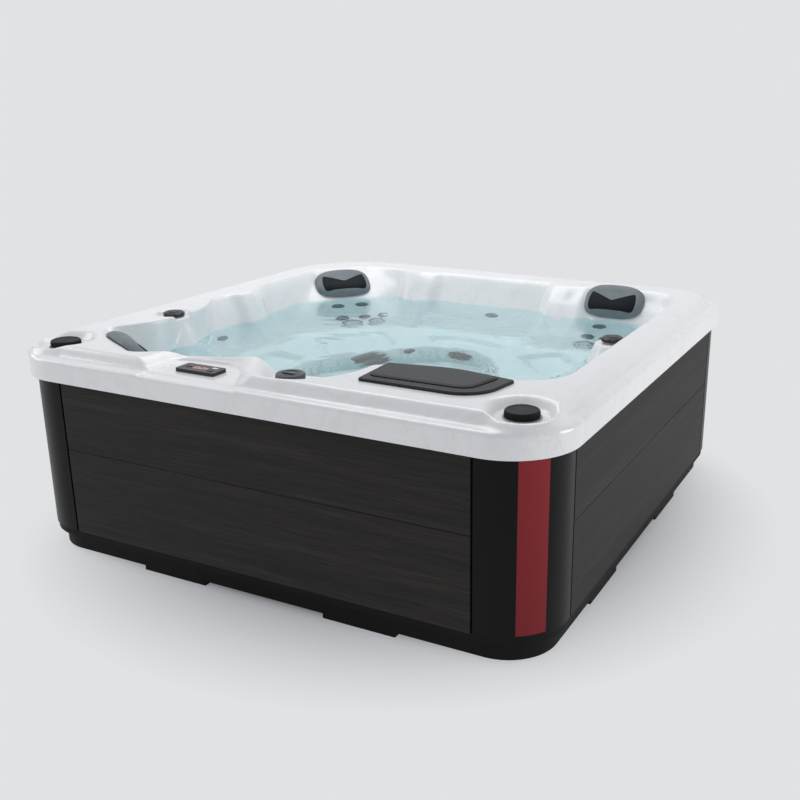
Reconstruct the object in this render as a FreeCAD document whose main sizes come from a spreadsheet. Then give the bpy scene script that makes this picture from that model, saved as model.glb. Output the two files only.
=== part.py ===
import FreeCAD, Part
import math
import os
import re
import Sketcher

# Square acrylic hot tub with a moulded seat shell in a dark plank cabinet.
# +X runs to the right along the front, +Y to the back, +Z up; the origin is the centre of the footprint.

SIZES = {
    # whole tub
    "tub_side": 2200,
    "lip_radius": 235,
    "lip_overhang": 25,
    # levels, each the height of one tier
    "pad_height": 18,
    "base_height": 92,
    "cabinet_height": 600,
    "lip_height": 80,
    "riser_height": 38,
    "water_drop": 128,
    "bench_drop": 498,
    "foot_drop": 210,
    # clearances between pieces
    "cut_overrun": 2,
    "seat_gap": 0.3,
    "shaft_gap": 0.05,
    "slide_gap": 0.5,
    # moulded shell
    "shell_wall": 8,
    "lip_edge": 14,
    "ledge_width": 34,
    "riser_run": 32,
    "plateau_radius": 190,
    "plateau_rear_left_radius": 400,
    "rim_round": 12,
    "bucket_depth": 45,
    "bucket_draft": 30,
    # base pan
    "pan_inset": 33,
    "pan_flange_inset": 5,
    "pan_flange_height": 25,
    "pan_wall": 22,
    "pan_floor": 8,
    "pan_radius": 177,
    "foot_inner": 256,
    "foot_length": 285,
    "foot_width": 110,
    "power_hole_radius": 14,
    "power_hole_side": 820,
    "spigot_side": 700,
    "spigot_drop": 40,
    "spigot_radius": 13,
    "spigot_length": 25,
    "spigot_flange_radius": 22,
    "spigot_flange": 6,
    "spigot_bore": 8,
    # cabinet
    "post_radius": 210,
    "post_reach": 235,
    "post_wall": 17,
    "post_flange": 25,
    "panel_wall": 12,
    "panel_gap": 8,
    "panel_top_gap": 2,
    "lower_plank_height": 333,
    "plank_bevel": 3,
    "tongue_wall": 4,
    "tongue_height": 8,
    "strip_half_angle": 14,
    "strip_wall": 5,
    "strip_foot": 12,
    "bar_side": 38,
    "rail_to_post": 35,
    # headrests
    "pillow_half_width": 140,
    "pillow_half_height": 86,
    "pillow_thickness": 46,
    "pillow_radius": 60,
    "pillow_back_taper": 6,
    "pillow_crown_taper": 20,
    "insert_depth": 5,
    "insert_proud": 1.5,
    # filter
    "surround_height": 10,
    "surround_bevel": 3,
    "surround_floor": 3,
    "lid_groove": 4,
    "lid_height": 14,
    "lid_bevel": 5,
    "lid_bevel_run": 16,
    "lid_seat": 18,
    "bucket_side_x": 340,
    "bucket_side_y": 176,
    "bucket_radius": 30,
    "bucket_height": 420,
    "bucket_wall": 4,
    "mouth_width": 180,
    "mouth_height": 96,
    "mouth_drop": 78,
    "flap_wall": 4,
    "flap_gap": 3,
    "flap_pin_radius": 3,
    "cartridge_radius": 74,
    "cartridge_height": 226,
    "pleat_depth": 9,
    "cartridge_cap": 12,
    "cartridge_core": 26,
    # control panel
    "touchpad_length": 168,
    "touchpad_width": 74,
    "touchpad_height": 12,
    "touchpad_radius": 8,
    "display_length": 62,
    "display_width": 26,
    "display_depth": 2,
    "button_length": 22,
    "button_width": 13,
    "button_height": 5,
    "button_well": 5.2,
    "button_proud": 1.2,
    "button_offset": 52,
    "button_row": 15,
    # knobs and their valves
    "valve_radius": 25,
    "valve_depth": 90,
    "valve_flange_radius": 36,
    "valve_flange": 3,
    "stem_radius": 8,
    "stem_height": 16,
    "diverter_radius": 52,
    "diverter_height": 26,
    "diverter_top_radius": 42,
    "diverter_ring": 6,
    "diverter_ring_depth": 3,
    "diverter_grip": 5,
    "diverter_grip_width": 12,
    "diverter_shoulder": 10,
    "air_knob_radius": 44,
    "air_knob_height": 22,
    "air_knob_rib": 3,
    "air_knob_base": 4,
    "air_knob_shoulder": 9,
    "scallop_radius": 14,
    "scallop_depth": 4,
    # pop-up speakers
    "dish_radius": 97,
    "dish_drop": 31,
    "dish_rim": 24,
    "dish_rim_drop": 14,
    "speaker_radius": 55,
    "speaker_cap": 16,
    "speaker_crown": 5,
    "speaker_body_radius": 44,
    "speaker_body_depth": 96,
    "speaker_cup_depth": 112,
    "speaker_cup_wall": 3,
    "speaker_cup_flange": 2,
    "speaker_cup_rim": 61,
    "grille_slot": 7,
    "grille_slot_depth": 5,
    "grille_slot_height": 40,
    # jets, suctions and lights
    "jet_radius": 33,
    "jet_face": 7,
    "jet_eye_radius": 13,
    "jet_eye_depth": 5,
    "jet_body_radius": 20,
    "jet_body_depth": 48,
    "rotary_radius": 52,
    "rotary_face": 11,
    "rotary_rotor_radius": 40,
    "rotary_rotor": 6,
    "rotary_pin_radius": 6,
    "rotary_port_radius": 8,
    "rotary_port_reach": 24,
    "rotary_body_radius": 34,
    "suction_radius": 77,
    "suction_height": 20,
    "suction_crown": 9,
    "suction_body_radius": 38,
    "suction_body_depth": 60,
    "suction_slot": 9,
    "return_radius": 30,
    "return_height": 8,
    "light_radius": 9,
    "light_proud": 3,
    # equipment bay
    "motor_radius": 72,
    "motor_length": 230,
    "motor_foot": 40,
    "motor_rib": 6,
    "motor_rib_wall": 4,
    "motor_cap": 24,
    "shaft_radius": 8,
    "volute_radius": 98,
    "volute_length": 66,
    "volute_wall": 12,
    "inlet_length": 24,
    "outlet_rise": 40,
    "impeller_radius": 78,
    "impeller_length": 26,
    "impeller_hub": 20,
    "vane_wall": 5,
    "pipe_radius": 25,
    "pipe_bend": 36,
    "pipe_wall": 4,
    "heater_radius": 38,
    "heater_length": 360,
    "heater_union": 6,
    "heater_union_length": 26,
    "saddle_wall": 24,
    "circulation_radius": 45,
    "circulation_length": 120,
    "manifold_radius": 38,
    "manifold_length": 340,
    "nipple_radius": 9,
    "nipple_length": 22,
    "nipple_spacing": 40,
    "control_length": 360,
    "control_width": 180,
    "control_height": 110,
    "control_bevel": 12,
    "control_lid": 22,
    "control_lid_lip": 5,
}

FULL_TURN = 360.0
QUARTER_TURN = 90.0

# Levels as formulas of the tiers
PAN_LEVEL = "pad_height"
CABINET_LEVEL = "(pad_height + base_height)"
LIP_LEVEL = "(pad_height + base_height + cabinet_height)"
LEDGE_LEVEL = "(pad_height + base_height + cabinet_height + lip_height)"
DECK_LEVEL = "(pad_height + base_height + cabinet_height + lip_height + riser_height)"
WATER_LEVEL = "(" + DECK_LEVEL + " - water_drop)"
BENCH_LEVEL = "(" + DECK_LEVEL + " - bench_drop)"
FOOT_LEVEL = "(" + DECK_LEVEL + " - bench_drop - foot_drop)"
SPEAKER_LEVEL = "(" + DECK_LEVEL + " - dish_drop)"
TUB_HALF = "(tub_side / 2)"
CABINET_HALF = "(tub_side / 2 - lip_overhang)"

document = FreeCAD.newDocument("HotTub")
sheet = document.addObject("Spreadsheet::Sheet", "Sizes")
for row, (alias, number) in enumerate(SIZES.items(), start=1):
    sheet.set("A%d" % row, alias)
    sheet.set("B%d" % row, str(number))
    sheet.setAlias("B%d" % row, alias)
document.recompute()

nodes = []


def vector(x, y, z=0.0):
    """A point or direction."""
    return FreeCAD.Vector(x, y, z)


def size(formula):
    """The value of a formula of sheet names."""
    return float(sheet.evalExpression(formula))


def bound(formula):
    """The same formula with every sheet name written as the sheet's own cell."""
    return re.sub(r"[a-z_]+", lambda word: "Sizes." + word.group(0) if word.group(0) in SIZES else word.group(0), formula)


def new_body(label):
    """An empty PartDesign body that becomes the node of that name."""
    body = document.addObject("PartDesign::Body", label)
    body.Label = label
    nodes.append(body)
    return body


def new_feature(label, shape, place=None):
    """A node whose shape is worked out in code, with its placement set after it."""
    feature = document.addObject("Part::Feature", label)
    feature.Label = label
    feature.Shape = shape
    if place is not None:
        feature.Placement = place
    nodes.append(feature)
    return feature


def put(thing, x, y, z, turn=0.0, axis=(0, 0, 1)):
    """Places a piece by formulas, turned by an angle in degrees about an axis, upright unless another is named."""
    thing.Placement = FreeCAD.Placement(vector(0, 0, 0), FreeCAD.Rotation(vector(*axis), turn))
    for axis, formula in zip("xyz", (x, y, z)):
        thing.setExpression("Placement.Base." + axis, bound(formula))


def arc_shape(start, end, radius, turn):
    """The arc from start to end whose centre lies to the left for turn 1 and to the right for turn -1."""
    chord = end - start
    half = chord.Length / 2
    rise = math.sqrt(max(radius * radius - half * half, 0.0))
    left = vector(-chord.y, chord.x).normalize()
    centre = start + chord / 2 + left * rise * turn
    first, last = (start, end) if turn > 0 else (end, start)
    angles = [math.atan2(p.y - centre.y, p.x - centre.x) for p in (first, last)]
    if angles[1] <= angles[0]:
        angles[1] += 2 * math.pi
    return Part.ArcOfCircle(Part.Circle(centre, vector(0, 0, 1), radius), angles[0], angles[1])


def bind_place(sketch, geometry, end, corner):
    """Holds one point of a sketch at a pair of formulas."""
    for kind, axis, formula in (("DistanceX", -2, corner[0]), ("DistanceY", -1, corner[1])):
        if formula == "0":
            sketch.addConstraint(Sketcher.Constraint("PointOnObject", geometry, end, axis))
            continue
        number = sketch.addConstraint(Sketcher.Constraint(kind, -1, 1, geometry, end, size(formula)))
        sketch.setExpression("Constraints[%d]" % number, bound(formula))


def draw_circle(sketch, x, y, radius):
    """A full circle held by its centre and radius."""
    circle = Part.Circle(vector(size(x), size(y)), vector(0, 0, 1), size(radius))
    geometry = sketch.addGeometry(circle, False)
    bind_place(sketch, geometry, 3, (x, y))
    number = sketch.addConstraint(Sketcher.Constraint("Radius", geometry, size(radius)))
    sketch.setExpression("Constraints[%d]" % number, bound(radius))


def draw(body, role, name, *loops):
    """A fully bound sketch: each corner may end an arc with its radius and turn; one corner alone is a circle."""
    sketch = body.newObject("Sketcher::SketchObject", name)
    plane = next(item for item in body.Origin.OriginFeatures if item.Role == role)
    sketch.AttachmentSupport = [(plane, "")]
    sketch.MapMode = "FlatFace"
    for corners in loops:
        first = sketch.GeometryCount
        if len(corners) == 1:
            draw_circle(sketch, *corners[0])
            continue
        places = [vector(size(corner[0]), size(corner[1])) for corner in corners]
        ends = []
        for index, corner in enumerate(corners):
            if len(corner) == 2:
                sketch.addGeometry(Part.LineSegment(places[index - 1], places[index]), False)
                ends.append((1, 2))
            else:
                shape = arc_shape(places[index - 1], places[index], size(corner[2]), corner[3])
                sketch.addGeometry(shape, False)
                ends.append((1, 2) if corner[3] > 0 else (2, 1))
        count = len(corners)
        for index, corner in enumerate(corners):
            here = first + index
            after = first + (index + 1) % count
            sketch.addConstraint(
                Sketcher.Constraint("Coincident", here, ends[index][1], after, ends[(index + 1) % count][0])
            )
            bind_place(sketch, here, ends[index][1], corner)
            if len(corner) > 2:
                number = sketch.addConstraint(Sketcher.Constraint("Radius", here, size(corner[2])))
                sketch.setExpression("Constraints[%d]" % number, bound(corner[2]))
    return sketch


def rounded_box(half_x, half_y, radius, x="0", y="0"):
    """Corners of a rounded rectangle, counter-clockwise from the foot of its right side."""
    half_x = "(" + half_x + ")"
    half_y = "(" + half_y + ")"
    radius = "(" + radius + ")"
    return [
        ("%s + %s" % (x, half_x), "%s - %s + %s" % (y, half_y, radius), radius, 1),
        ("%s + %s" % (x, half_x), "%s + %s - %s" % (y, half_y, radius)),
        ("%s + %s - %s" % (x, half_x, radius), "%s + %s" % (y, half_y), radius, 1),
        ("%s - %s + %s" % (x, half_x, radius), "%s + %s" % (y, half_y)),
        ("%s - %s" % (x, half_x), "%s + %s - %s" % (y, half_y, radius), radius, 1),
        ("%s - %s" % (x, half_x), "%s - %s + %s" % (y, half_y, radius)),
        ("%s - %s + %s" % (x, half_x, radius), "%s - %s" % (y, half_y), radius, 1),
        ("%s + %s - %s" % (x, half_x, radius), "%s - %s" % (y, half_y)),
    ]


def box_corners(x_low, y_low, x_high, y_high):
    """Corners of a plain rectangle."""
    return [(x_low, y_low), (x_high, y_low), (x_high, y_high), (x_low, y_high)]


def pad(body, sketch, length, reverse=False, middle=False):
    """Adds the sketch's area, pulled out by a formula."""
    feature = body.newObject("PartDesign::Pad", sketch.Name + "_pad")
    feature.Profile = sketch
    feature.setExpression("Length", bound(length))
    feature.Reversed = reverse
    feature.SideType = "Symmetric" if middle else "One side"
    document.recompute()
    return feature


def pocket(body, sketch, length, reverse=False):
    """Cuts the sketch's area to a depth and makes sure that something was cut."""
    before = body.Shape.Volume
    feature = body.newObject("PartDesign::Pocket", sketch.Name + "_pocket")
    feature.Profile = sketch
    feature.setExpression("Length", bound(length))
    feature.Reversed = reverse
    document.recompute()
    if not body.Shape.Volume < before:
        raise ValueError("%s cuts nothing: %s %s" % (sketch.Name, sketch.State, feature.State))
    return feature


def turned(body, name, corners):
    """A solid turned about the upright axis from a half section of radius and height."""
    sketch = draw(body, "XZ_Plane", name, corners)
    feature = body.newObject("PartDesign::Revolution", name + "_turn")
    feature.Profile = sketch
    feature.ReferenceAxis = (sketch, ["V_Axis"])
    feature.Angle = FULL_TURN
    document.recompute()
    return feature


def ring_pattern(body, feature, count):
    """Repeats a feature evenly about the upright axis."""
    pattern = body.newObject("PartDesign::PolarPattern", feature.Name + "_ring")
    pattern.Originals = [feature]
    pattern.Axis = (next(item for item in body.Origin.OriginFeatures if item.Role == "Z_Axis"), [""])
    pattern.Angle = FULL_TURN
    pattern.Occurrences = count
    body.Tip = pattern
    document.recompute()
    return pattern


def offset_corners(points, gap):
    """The outline moved outwards by a gap, each corner staying on its bisector."""
    moved = []
    for index, here in enumerate(points):
        before = (here - points[index - 1]).normalize()
        after = (points[(index + 1) % len(points)] - here).normalize()
        first = vector(before.y, -before.x)
        second = vector(after.y, -after.x)
        moved.append(here + (first + second) * (gap / (1 + first.dot(second))))
    return moved


def outline(points, radii, gap, height):
    """A closed wire of lines and arcs through the corners, moved outwards by a gap and raised to a height."""
    count = len(points)
    moved = offset_corners(points, gap)
    starts, middles, ends = [], [], []
    for index, here in enumerate(moved):
        back = moved[index - 1] - here
        ahead = moved[(index + 1) % count] - here
        left_turn = back.x * ahead.y - back.y * ahead.x < 0
        radius = max(radii[index] + (gap if left_turn else -gap), size("cut_overrun"))
        back.normalize()
        ahead.normalize()
        half = back.getAngle(ahead) / 2
        reach = radius / math.tan(half)
        middle = (back + ahead).normalize()
        centre = here + middle * (radius / math.sin(half))
        up = vector(0, 0, height)
        starts.append(here + back * reach + up)
        middles.append(centre - middle * radius + up)
        ends.append(here + ahead * reach + up)
    edges = []
    for index in range(count):
        edges.append(Part.Arc(starts[index], middles[index], ends[index]).toShape())
        edges.append(Part.LineSegment(ends[index], starts[(index + 1) % count]).toShape())
    return Part.Wire(edges)


def tapered(points, radii, *sections):
    """A solid through one outline at several gaps and heights; equal gaps all round keep planes and cones."""
    wires = [outline(points, radii, gap, height) for gap, height in sections]
    return Part.makeLoft(wires, True, True)


def square_corners(half_x, half_y, x=0.0, y=0.0, turn=0.0):
    """The four corners of a rectangle, counter-clockwise, turned about its centre."""
    angle = math.radians(turn)
    across = vector(math.cos(angle), math.sin(angle)) * half_x
    along = vector(-math.sin(angle), math.cos(angle)) * half_y
    centre = vector(x, y)
    return [centre + across - along, centre + across + along, centre - across + along, centre - across - along]


def cylinder(radius, low, high, x=0.0, y=0.0, top_radius=None):
    """An upright cylinder, or a cone where the top radius differs."""
    if top_radius is None:
        return Part.makeCylinder(radius, high - low, vector(x, y, low))
    return Part.makeCone(radius, top_radius, high - low, vector(x, y, low))


def turned_shape(profile):
    """A solid turned about the upright axis from a list of radius and height."""
    corners = [vector(radius, 0, height) for radius, height in profile]
    face = Part.Face(Part.makePolygon(corners + corners[:1]))
    return face.revolve(vector(0, 0, 0), vector(0, 0, 1), FULL_TURN)


# Moulded acrylic shell: the bathing well
# Deck-level corners of the well, anticlockwise from the front right: shares of the tub's half side, with a radius share
well_corner_shares = (
    (0.845, -0.627, 0.155),
    (0.845, 0.805, 0.120),
    (-0.633, 0.805, 0.055),
    (-0.823, 0.595, 0.055),
    (-0.823, -0.715, 0.080),
    (-0.523, -0.877, 0.050),
    (-0.360, -0.777, 0.065),
    (-0.136, -0.740, 0.140),
    (0.227, -0.668, 0.110),
    (0.314, -0.627, 0.110),
    (0.545, -0.593, 0.550),
)

# Ribs between the seats: the middle of the nose, its half width, the half width at the root and the way it faces
rib_shares = (
    (0.365, 0.760, 0.035, 0.085, -90.0),
    (-0.355, 0.765, 0.035, 0.075, -90.0),
    (-0.777, 0.078, 0.035, 0.080, 0.0),
    (-0.738, -0.386, 0.040, 0.090, 0.0),
)
rib_radius_share = 0.034
rib_root_share = 0.100

# Reclined backs: name, deck-level line anticlockwise, how far each leans in at the water line and at the bench,
# and how far its form runs on past the line's two ends, all as shares of the half side

back_shares = {
    "right": ((0.845, -0.430), (0.845, 0.700), 0.055, 0.170, 0.060, 0.100),
    "back_right": ((0.845, 0.805), (0.430, 0.805), 0.105, 0.280, 0.0, 0.0),
    "right_pillar": ((0.430, 0.760), (0.300, 0.760), 0.090, 0.250, 0.0, 0.0),
    "back_middle": ((0.300, 0.805), (-0.300, 0.805), 0.068, 0.225, 0.0, 0.0),
    "left_pillar": ((-0.300, 0.765), (-0.405, 0.765), 0.064, 0.215, 0.0, 0.0),
    "back_left_end": ((-0.385, 0.805), (-0.633, 0.805), 0.075, 0.255, 0.0, 0.060),
    "back_left": ((-0.633, 0.805), (-0.823, 0.595), 0.155, 0.360, 0.060, 0.190),
    "left_rear": ((-0.823, 0.640), (-0.823, 0.125), 0.045, 0.155, 0.0, 0.0),
    "left_rib": ((-0.777, 0.120), (-0.777, 0.035), 0.032, 0.130, 0.0, 0.0),
    "left": ((-0.823, 0.030), (-0.823, -0.330), 0.045, 0.130, 0.0, 0.0),
    "left_ledge": ((-0.738, -0.340), (-0.738, -0.433), 0.005, 0.065, 0.0, 0.0),
    "left_front": ((-0.823, -0.440), (-0.823, -0.730), 0.045, 0.130, 0.0, 0.0),
    "front_left": ((-0.823, -0.715), (-0.523, -0.877), 0.105, 0.270, 0.100, 0.250),
    "front": ((-0.400, -0.782), (0.227, -0.668), 0.024, 0.090, 0.0, 0.0),
}

# Footwell corners at the bench: shares of the half side, with a radius share
footwell_shares = (
    (-0.382, -0.345, 0.135),
    (0.382, -0.345, 0.135),
    (0.382, 0.073, 0.090),
    (0.175, 0.336, 0.045),
    (-0.030, 0.336, 0.045),
    (-0.382, 0.000, 0.090),
)

# Seat hollows in the bench: centre, half width, half depth as shares of the half side, and the seat's turn in degrees
seat_shares = (
    (-0.390, 0.250, 0.170, 0.130, 47.7),
    (-0.520, -0.150, 0.100, 0.130, 0.0),
    (-0.500, -0.480, 0.130, 0.095, -28.0),
    (0.040, 0.440, 0.180, 0.062, 0.0),
    (0.470, 0.330, 0.130, 0.110, -45.0),
    (0.530, -0.110, 0.105, 0.150, 0.0),
)
seat_radius_share = 0.055

# Lowered control platform, knob shelf and filter plate: corners as shares of the half side, with radius shares
platform_shares = (
    (-0.425, -1.100, 0.020),
    (0.060, -1.100, 0.020),
    (-0.110, -0.800, 0.030),
    (-0.165, -0.765, 0.030),
    (-0.395, -0.785, 0.025),
)
shelf_shares = (
    (-0.022, -0.878, 0.060),
    (0.140, -0.882, 0.050),
    (0.196, -0.720, 0.040),
    (0.196, -0.560, 0.020),
    (-0.112, -0.560, 0.020),
    (-0.112, -0.770, 0.040),
)
surround_shares = (
    (0.318, -0.839, 0.010),
    (0.712, -0.841, 0.115),
    (0.741, -0.652, 0.008),
    (0.527, -0.612, 0.400),
    (0.312, -0.652, 0.010),
)
lid_shares = (
    (0.338, -0.803, 0.018),
    (0.662, -0.797, 0.050),
    (0.694, -0.664, 0.012),
    (0.527, -0.634, 0.350),
    (0.333, -0.664, 0.014),
)
insert_shares = (
    (0.77, -0.53, 0.10),
    (0.73, 0.60, 0.13),
    (0.0, 0.13, 2.00),
    (-0.73, 0.60, 0.13),
    (-0.77, -0.53, 0.10),
    (0.0, -0.40, 5.00),
)
# Headrests: back, share along it, height above the bench as a share of the half side
pillow_shares = (
    ("back_left", 0.60, 0.389),
    ("back_right", 0.655, 0.401),
    ("front_left", 0.47, 0.401),
)
# Crown of a headrest: share of the crown's inset and share of the thickness
crown_shares = ((0.0, 0.60), (0.2, 0.82), (0.6, 0.95), (1.5, 1.0))

# Places of knobs, speakers and filter, as shares of the half side
diverter_share = (0.032, -0.777)
left_knob_share = (-0.785, -0.386)
right_knob_share = (0.783, 0.112)
speaker_share = 0.850
pump_share = (-0.227, -0.800)
circulation_share = 0.620
heater_share = (0.825, -0.245)
control_share = (-0.822, -0.230)
manifold_shares = ((-0.882, 0.300), (0.825, 0.420))
manifold_level_share = 0.382
bucket_share = (0.514, -0.732)
touchpad_share = (-0.240, -0.875)
shelf_drop_share = 0.057
ledge_knob_drop_share = 0.048
knob_dish_drop_share = 0.015
knob_dish_radius_share = 0.062
ledge_knob_radius_share = 0.072
ledge_knob_depth_share = 0.190

half_side = size(TUB_HALF)
wall = size("shell_wall")
overrun = size("cut_overrun")
lip_level = size(LIP_LEVEL)
ledge_level = size(LEDGE_LEVEL)
deck_level = size(DECK_LEVEL)
water_level = size(WATER_LEVEL)
bench_level = size(BENCH_LEVEL)
foot_level = size(FOOT_LEVEL)
speaker_level = size(SPEAKER_LEVEL)
shelf_level = deck_level - shelf_drop_share * half_side
right_knob_level = deck_level - ledge_knob_drop_share * half_side
left_knob_level = deck_level - knob_dish_drop_share * half_side
round_level = deck_level - size("rim_round")


def corners_of(shares, scale=None):
    """Corner points and radii from a table of shares."""
    scale = half_side if scale is None else scale
    points = [vector(x, y) * scale for x, y, radius in shares]
    return points, [radius * scale for x, y, radius in shares]


def back_profile(name, gap):
    """One back's upright section: leaning-in distance and height, moved outwards by the wall's thickness."""
    start, end, lean_water, lean_bench, run_start, run_end = back_shares[name]
    slopes = ((0.0, round_level), (lean_water * half_side, water_level), (lean_bench * half_side, bench_level))
    normals = []
    for (lean_a, high), (lean_b, low) in zip(slopes, slopes[1:]):
        length = math.hypot(lean_b - lean_a, high - low)
        normals.append(vector(-(high - low) / length, -(lean_b - lean_a) / length))
    moved = [vector(*slopes[0]) + normals[0] * (gap / -normals[0].x)]
    joint = normals[0] + normals[1]
    moved.append(vector(*slopes[1]) + joint * (gap / (1 + normals[0].dot(normals[1]))))
    last = vector(*slopes[2]) + normals[1] * gap
    moved.append(last)
    return moved


def back_solid(name, gap):
    """The wedge behind one reclined back, from the deck edge down past the bench."""
    start, end, lean_water, lean_bench, run_start, run_end = back_shares[name]
    first = vector(*start) * half_side
    last = vector(*end) * half_side
    along = (last - first).normalize()
    inward = vector(-along.y, along.x)
    first = first - along * (run_start * half_side)
    last = last + along * (run_end * half_side)
    profile = back_profile(name, gap)
    depth = size("bucket_depth") + wall + overrun
    behind = -size("ledge_width") - wall
    section = [vector(behind, profile[0].y)] + profile
    section.append(vector(profile[-1].x, bench_level - depth))
    section.append(vector(behind, bench_level - depth))
    corners = [first + inward * p.x + vector(0, 0, p.y) for p in section]
    face = Part.Face(Part.makePolygon(corners + corners[:1]))
    return face.extrude(last - first)


def column(points, radii, gap, low, high):
    """An upright solid over a rounded outline moved outwards by a gap."""
    return Part.Face(outline(points, radii, gap, low)).extrude(vector(0, 0, high - low))


def rib_solid(rib, low, high):
    """A rounded rib that stands out of the well's wall between two seats."""
    x, y, nose, root, facing = rib
    along = vector(-math.sin(math.radians(facing)), math.cos(math.radians(facing)))
    outward = vector(math.cos(math.radians(facing)), math.sin(math.radians(facing)))
    tip = vector(x, y) * half_side
    heel = tip - outward * (rib_root_share * half_side)
    nose_half = nose * half_side
    root_half = root * half_side
    points = [heel - along * root_half * 2, tip - along * nose_half, tip + along * nose_half,
              heel + along * root_half * 2]
    radii = [overrun, rib_radius_share * half_side, rib_radius_share * half_side, overrun]
    return column(points, radii, 0.0, low, high)


def well_solid(gap, top, bottom):
    """The well above the bench, cut by every reclined back, and by the ribs where it is the bather's side."""
    points, radii = corners_of(well_corner_shares)
    well = column(points, radii, gap, bottom, top)
    backs = [back_solid(name, gap) for name in back_shares]
    if gap == 0.0:
        backs += [rib_solid(rib, bottom - overrun, top + overrun) for rib in rib_shares]
    return well.cut(backs[0].multiFuse(backs[1:]))


def footwell_solid(gap, bottom):
    """The central footwell below the bench."""
    points, radii = corners_of(footwell_shares)
    return column(points, radii, gap, bottom, bench_level + overrun)


def seat_solid(seat, gap, bottom):
    """One seat's hollow pressed into the bench."""
    x, y, half_x, half_y, turn = seat
    points = square_corners(half_x * half_side, half_y * half_side, x * half_side, y * half_side, turn)
    radii = [seat_radius_share * half_side] * len(points)
    if gap > 0:
        return column(points, radii, gap, bottom, bench_level + overrun)
    return tapered(points, radii, (gap, bench_level + overrun), (gap - size("bucket_draft"), bottom))


def wall_frame(name, along_share, height):
    """Place on a reclined back: the point, the direction to a bather's right, up the slope and out of the wall."""
    start, end, lean_water, lean_bench, run_start, run_end = back_shares[name]
    first = vector(*start) * half_side
    last = vector(*end) * half_side
    along = (last - first).normalize()
    inward = vector(-along.y, along.x)
    stops = ((0.0, round_level), (lean_water * half_side, water_level), (lean_bench * half_side, bench_level))
    upper, lower = (stops[0], stops[1]) if height > water_level else (stops[1], stops[2])
    part_way = (upper[1] - height) / (upper[1] - lower[1])
    lean = upper[0] + (lower[0] - upper[0]) * part_way
    point = first + (last - first) * along_share + inward * lean + vector(0, 0, height)
    outward = (inward * (upper[1] - lower[1]) + vector(0, 0, lower[0] - upper[0])).normalize()
    right = along * -1
    return point, right, outward.cross(right), outward


def placed(frame, lift=0.0):
    """The placement that stands a piece's own axis out of a wall, lifted clear by a gap."""
    point, right, up, outward = frame
    turn = FreeCAD.Rotation(right, up, outward, "ZXY")
    return FreeCAD.Placement(point + outward * lift, turn)


# Shell: rim, well and the recesses moulded into them

def rim_solid(gap, bottom):
    """The rim from lip to deck: a square lip with a rounded edge, a ledge, a sloped riser and a flat deck."""
    edge = size("lip_edge")
    lip = square_corners(half_side, half_side)
    plateau_half = half_side - edge - size("ledge_width")
    plateau = square_corners(plateau_half, plateau_half)
    run = size("riser_run")
    lip_radii = [size("lip_radius")] * 4
    plateau_radii = [size("plateau_radius")] * 4
    plateau_radii[2] = size("plateau_rear_left_radius")
    lip_part = column(lip, lip_radii, gap, bottom, ledge_level - edge + gap)
    edge_part = tapered(lip, lip_radii, (gap, ledge_level - edge + gap), (gap - edge, ledge_level + gap))
    deck_part = tapered(plateau, plateau_radii, (gap, ledge_level + gap), (gap - run, deck_level + gap))
    if gap < 0:
        deck_part = deck_part.fuse(column(plateau, plateau_radii, gap, bottom, ledge_level + gap))
        return lip_part.fuse(deck_part)
    return lip_part.multiFuse([edge_part, deck_part])


def recess_solid(shares, gap, bottom):
    """A recess open at the top."""
    points, radii = corners_of(shares)
    return column(points, radii, gap, bottom, deck_level + overrun)


def shell_shape():
    """The whole moulding: outer skins fused, then every hollow cut."""
    rim = rim_solid(0.0, lip_level).cut(rim_solid(-wall, lip_level - overrun))
    outer = [well_solid(wall, deck_level, bench_level - wall)]
    inner = [well_solid(0.0, deck_level + overrun, bench_level)]
    outer.append(footwell_solid(wall, foot_level - wall))
    inner.append(footwell_solid(0.0, foot_level))
    for seat in seat_shares:
        seat_level = bench_level - size("bucket_depth")
        outer.append(seat_solid(seat, wall, seat_level - wall))
        inner.append(seat_solid(seat, 0.0, seat_level))
    frame_top = rim_solid(0.0, lip_level)
    outer.append(frame_top.common(recess_solid(platform_shares, wall, ledge_level - wall)))
    inner.append(recess_solid(platform_shares, 0.0, ledge_level))
    outer.append(frame_top.common(recess_solid(shelf_shares, wall, shelf_level - wall)))
    inner.append(recess_solid(shelf_shares, 0.0, shelf_level))
    for side in (-1, 1):
        x = side * speaker_share * half_side
        y = -speaker_share * half_side
        dish = size("dish_radius")
        rim_radius = dish + size("dish_rim")
        ring_level = deck_level - size("dish_rim_drop")
        rim = rim.fuse(cylinder(rim_radius, ledge_level - wall, ring_level, x, y))
        outer.append(cylinder(dish + wall, speaker_level - wall, speaker_level + wall, x, y))
        top = deck_level + overrun
        inner.append(cylinder(dish, speaker_level, top, x, y))
    left_x, left_y = (share * half_side for share in left_knob_share)
    knob_dish = knob_dish_radius_share * half_side
    outer.append(cylinder(knob_dish + wall, left_knob_level - wall, left_knob_level, left_x, left_y))
    inner.append(cylinder(knob_dish, left_knob_level, deck_level + overrun, left_x, left_y))
    shell = rim.multiFuse(outer)
    cavity = inner[0].multiFuse(inner[1:])
    ledge_x, ledge_y = (share * half_side for share in right_knob_share)
    ledge_radius = ledge_knob_radius_share * half_side
    ledge_foot = right_knob_level - ledge_knob_depth_share * half_side
    boss = cylinder(ledge_radius / 3, ledge_foot, right_knob_level, ledge_x, ledge_y, ledge_radius)
    hollow = cylinder(ledge_radius / 3 - wall, ledge_foot - wall, right_knob_level - wall, ledge_x, ledge_y,
                      ledge_radius - wall)
    shell = shell.cut(cavity.cut(boss)).cut(hollow)
    return shell


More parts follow.
